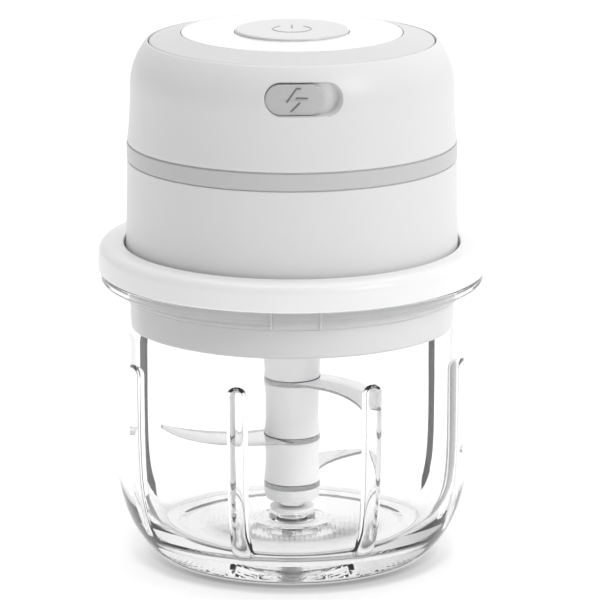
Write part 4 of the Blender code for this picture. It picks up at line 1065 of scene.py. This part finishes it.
def stage():
    """A pale floor that shines a little, with a painted soft contact shadow round the foot, darkest in front."""
    shape = bmesh.new()
    bmesh.ops.create_grid(shape, x_segments=1, y_segments=1, size=FLOOR_HALF)
    mesh = mesh_from("floor", shape)
    floor = bpy.data.objects.new("floor", mesh)
    bpy.context.scene.collection.objects.link(floor)
    material, tree, shader = base_material("floor_white", (0.5, 0.5, 0.5), 0.9, Specular_IOR_Level=0.0,
                                           Emission_Color=(1.0, 1.0, 1.0, 1.0), Emission_Strength=FLOOR_GLOW)
    where = position(tree)
    # painted shadow: the floor's glow and base colour darken in a ring round the foot, most in front
    out = worked(tree, "VectorMath", "LENGTH", where)["Value"]
    edge = ramp(tree, ranged(tree, out, 0.0, CONTACT_R * MM), CONTACT_STOPS)
    ring = worked(tree, "Math", "SUBTRACT", edge, 1.0)["Value"]
    parts = tree.nodes.new("ShaderNodeSeparateXYZ")
    tree.links.new(where, parts.inputs["Vector"])
    front = ranged(tree, parts.outputs["Y"], CONTACT_FRONT[0] * MM, CONTACT_BACK[0] * MM,
                   CONTACT_FRONT[1], CONTACT_BACK[1])
    level = worked(tree, "Math", "MULTIPLY_ADD", ring, front, 1.0)["Value"]
    tree.links.new(level, shader.inputs["Emission Color"])
    half = worked(tree, "VectorMath", "SCALE", level, None, None, 0.5)["Vector"]
    tree.links.new(half, shader.inputs["Base Color"])
    mesh.materials.append(material)
    floor.location.z = -FLOOR_DROP


def area_light(name, place, target, size, power):
    """A rectangular lamp at a place, facing a target, in metres."""
    data = bpy.data.lights.new(name, "AREA")
    data.shape = "RECTANGLE"
    data.size, data.size_y = size
    data.energy = power
    lamp = bpy.data.objects.new(name, data)
    lamp.location = place
    lamp.rotation_euler = (Vector(target) - Vector(place)).to_track_quat("-Z", "Y").to_euler()
    bpy.context.scene.collection.objects.link(lamp)


def ramp(tree, value, stops):
    """Grey levels along a value: the first stop, the last one, then those between."""
    node = tree.nodes.new("ShaderNodeValToRGB")
    node.color_ramp.interpolation = "EASE"
    for index, (place, level) in enumerate(stops):
        element = node.color_ramp.elements[index] if index < 2 else node.color_ramp.elements.new(place)
        element.position = place
        element.color = (level, level, level, 1.0)
    tree.links.new(value, node.inputs["Fac"])
    return node.outputs["Color"]


def lights():
    """A pale studio, darkest at the front left and brightest behind, with a key light and a top light."""
    world = bpy.data.worlds.new("studio")
    world.use_nodes = True
    tree = world.node_tree
    where = tree.nodes.new("ShaderNodeTexCoord").outputs["Generated"]
    along = worked(tree, "VectorMath", "DOT_PRODUCT", where, BRIGHT_WAY)["Value"]
    grey = ramp(tree, ranged(tree, along, -1.0), WORLD_STOPS)
    tree.links.new(grey, tree.nodes["Background"].inputs["Color"])
    tree.nodes["Background"].inputs["Strength"].default_value = WORLD
    bpy.context.scene.world = world
    area_light("key_light", (0.75, -0.65, 0.70), (0.0, 0.0, 0.07), (0.35, 0.5), KEY)
    area_light("top_light", (0.0, 0.1, 1.1), (0.0, 0.0, 0.0), (1.0, 1.0), TOP)


def camera():
    """The photo's view: far off with a long lens, looking a little down."""
    data = bpy.data.cameras.new("camera")
    data.lens = LENS
    data.sensor_width = 36.0
    data.clip_start = 0.05
    data.clip_end = 50.0
    view = bpy.data.objects.new("camera", data)
    view.location = CAMERA_PLACE
    view.rotation_euler = (math.radians(90.0 - CAMERA_DOWN_DEG), 0.0, 0.0)
    bpy.context.scene.collection.objects.link(view)
    bpy.context.scene.camera = view


dress_cad_nodes()
bowl()
spindle()
blade_unit()
lid()
lower_housing()
accent_band()
upper_housing()
port_cover()
base_plate()
drive_parts()
trim_ring()
top_plate()
power_button()
port_symbol()
stage()
lights()
camera()
bpy.context.scene.view_settings.view_transform = "Standard"
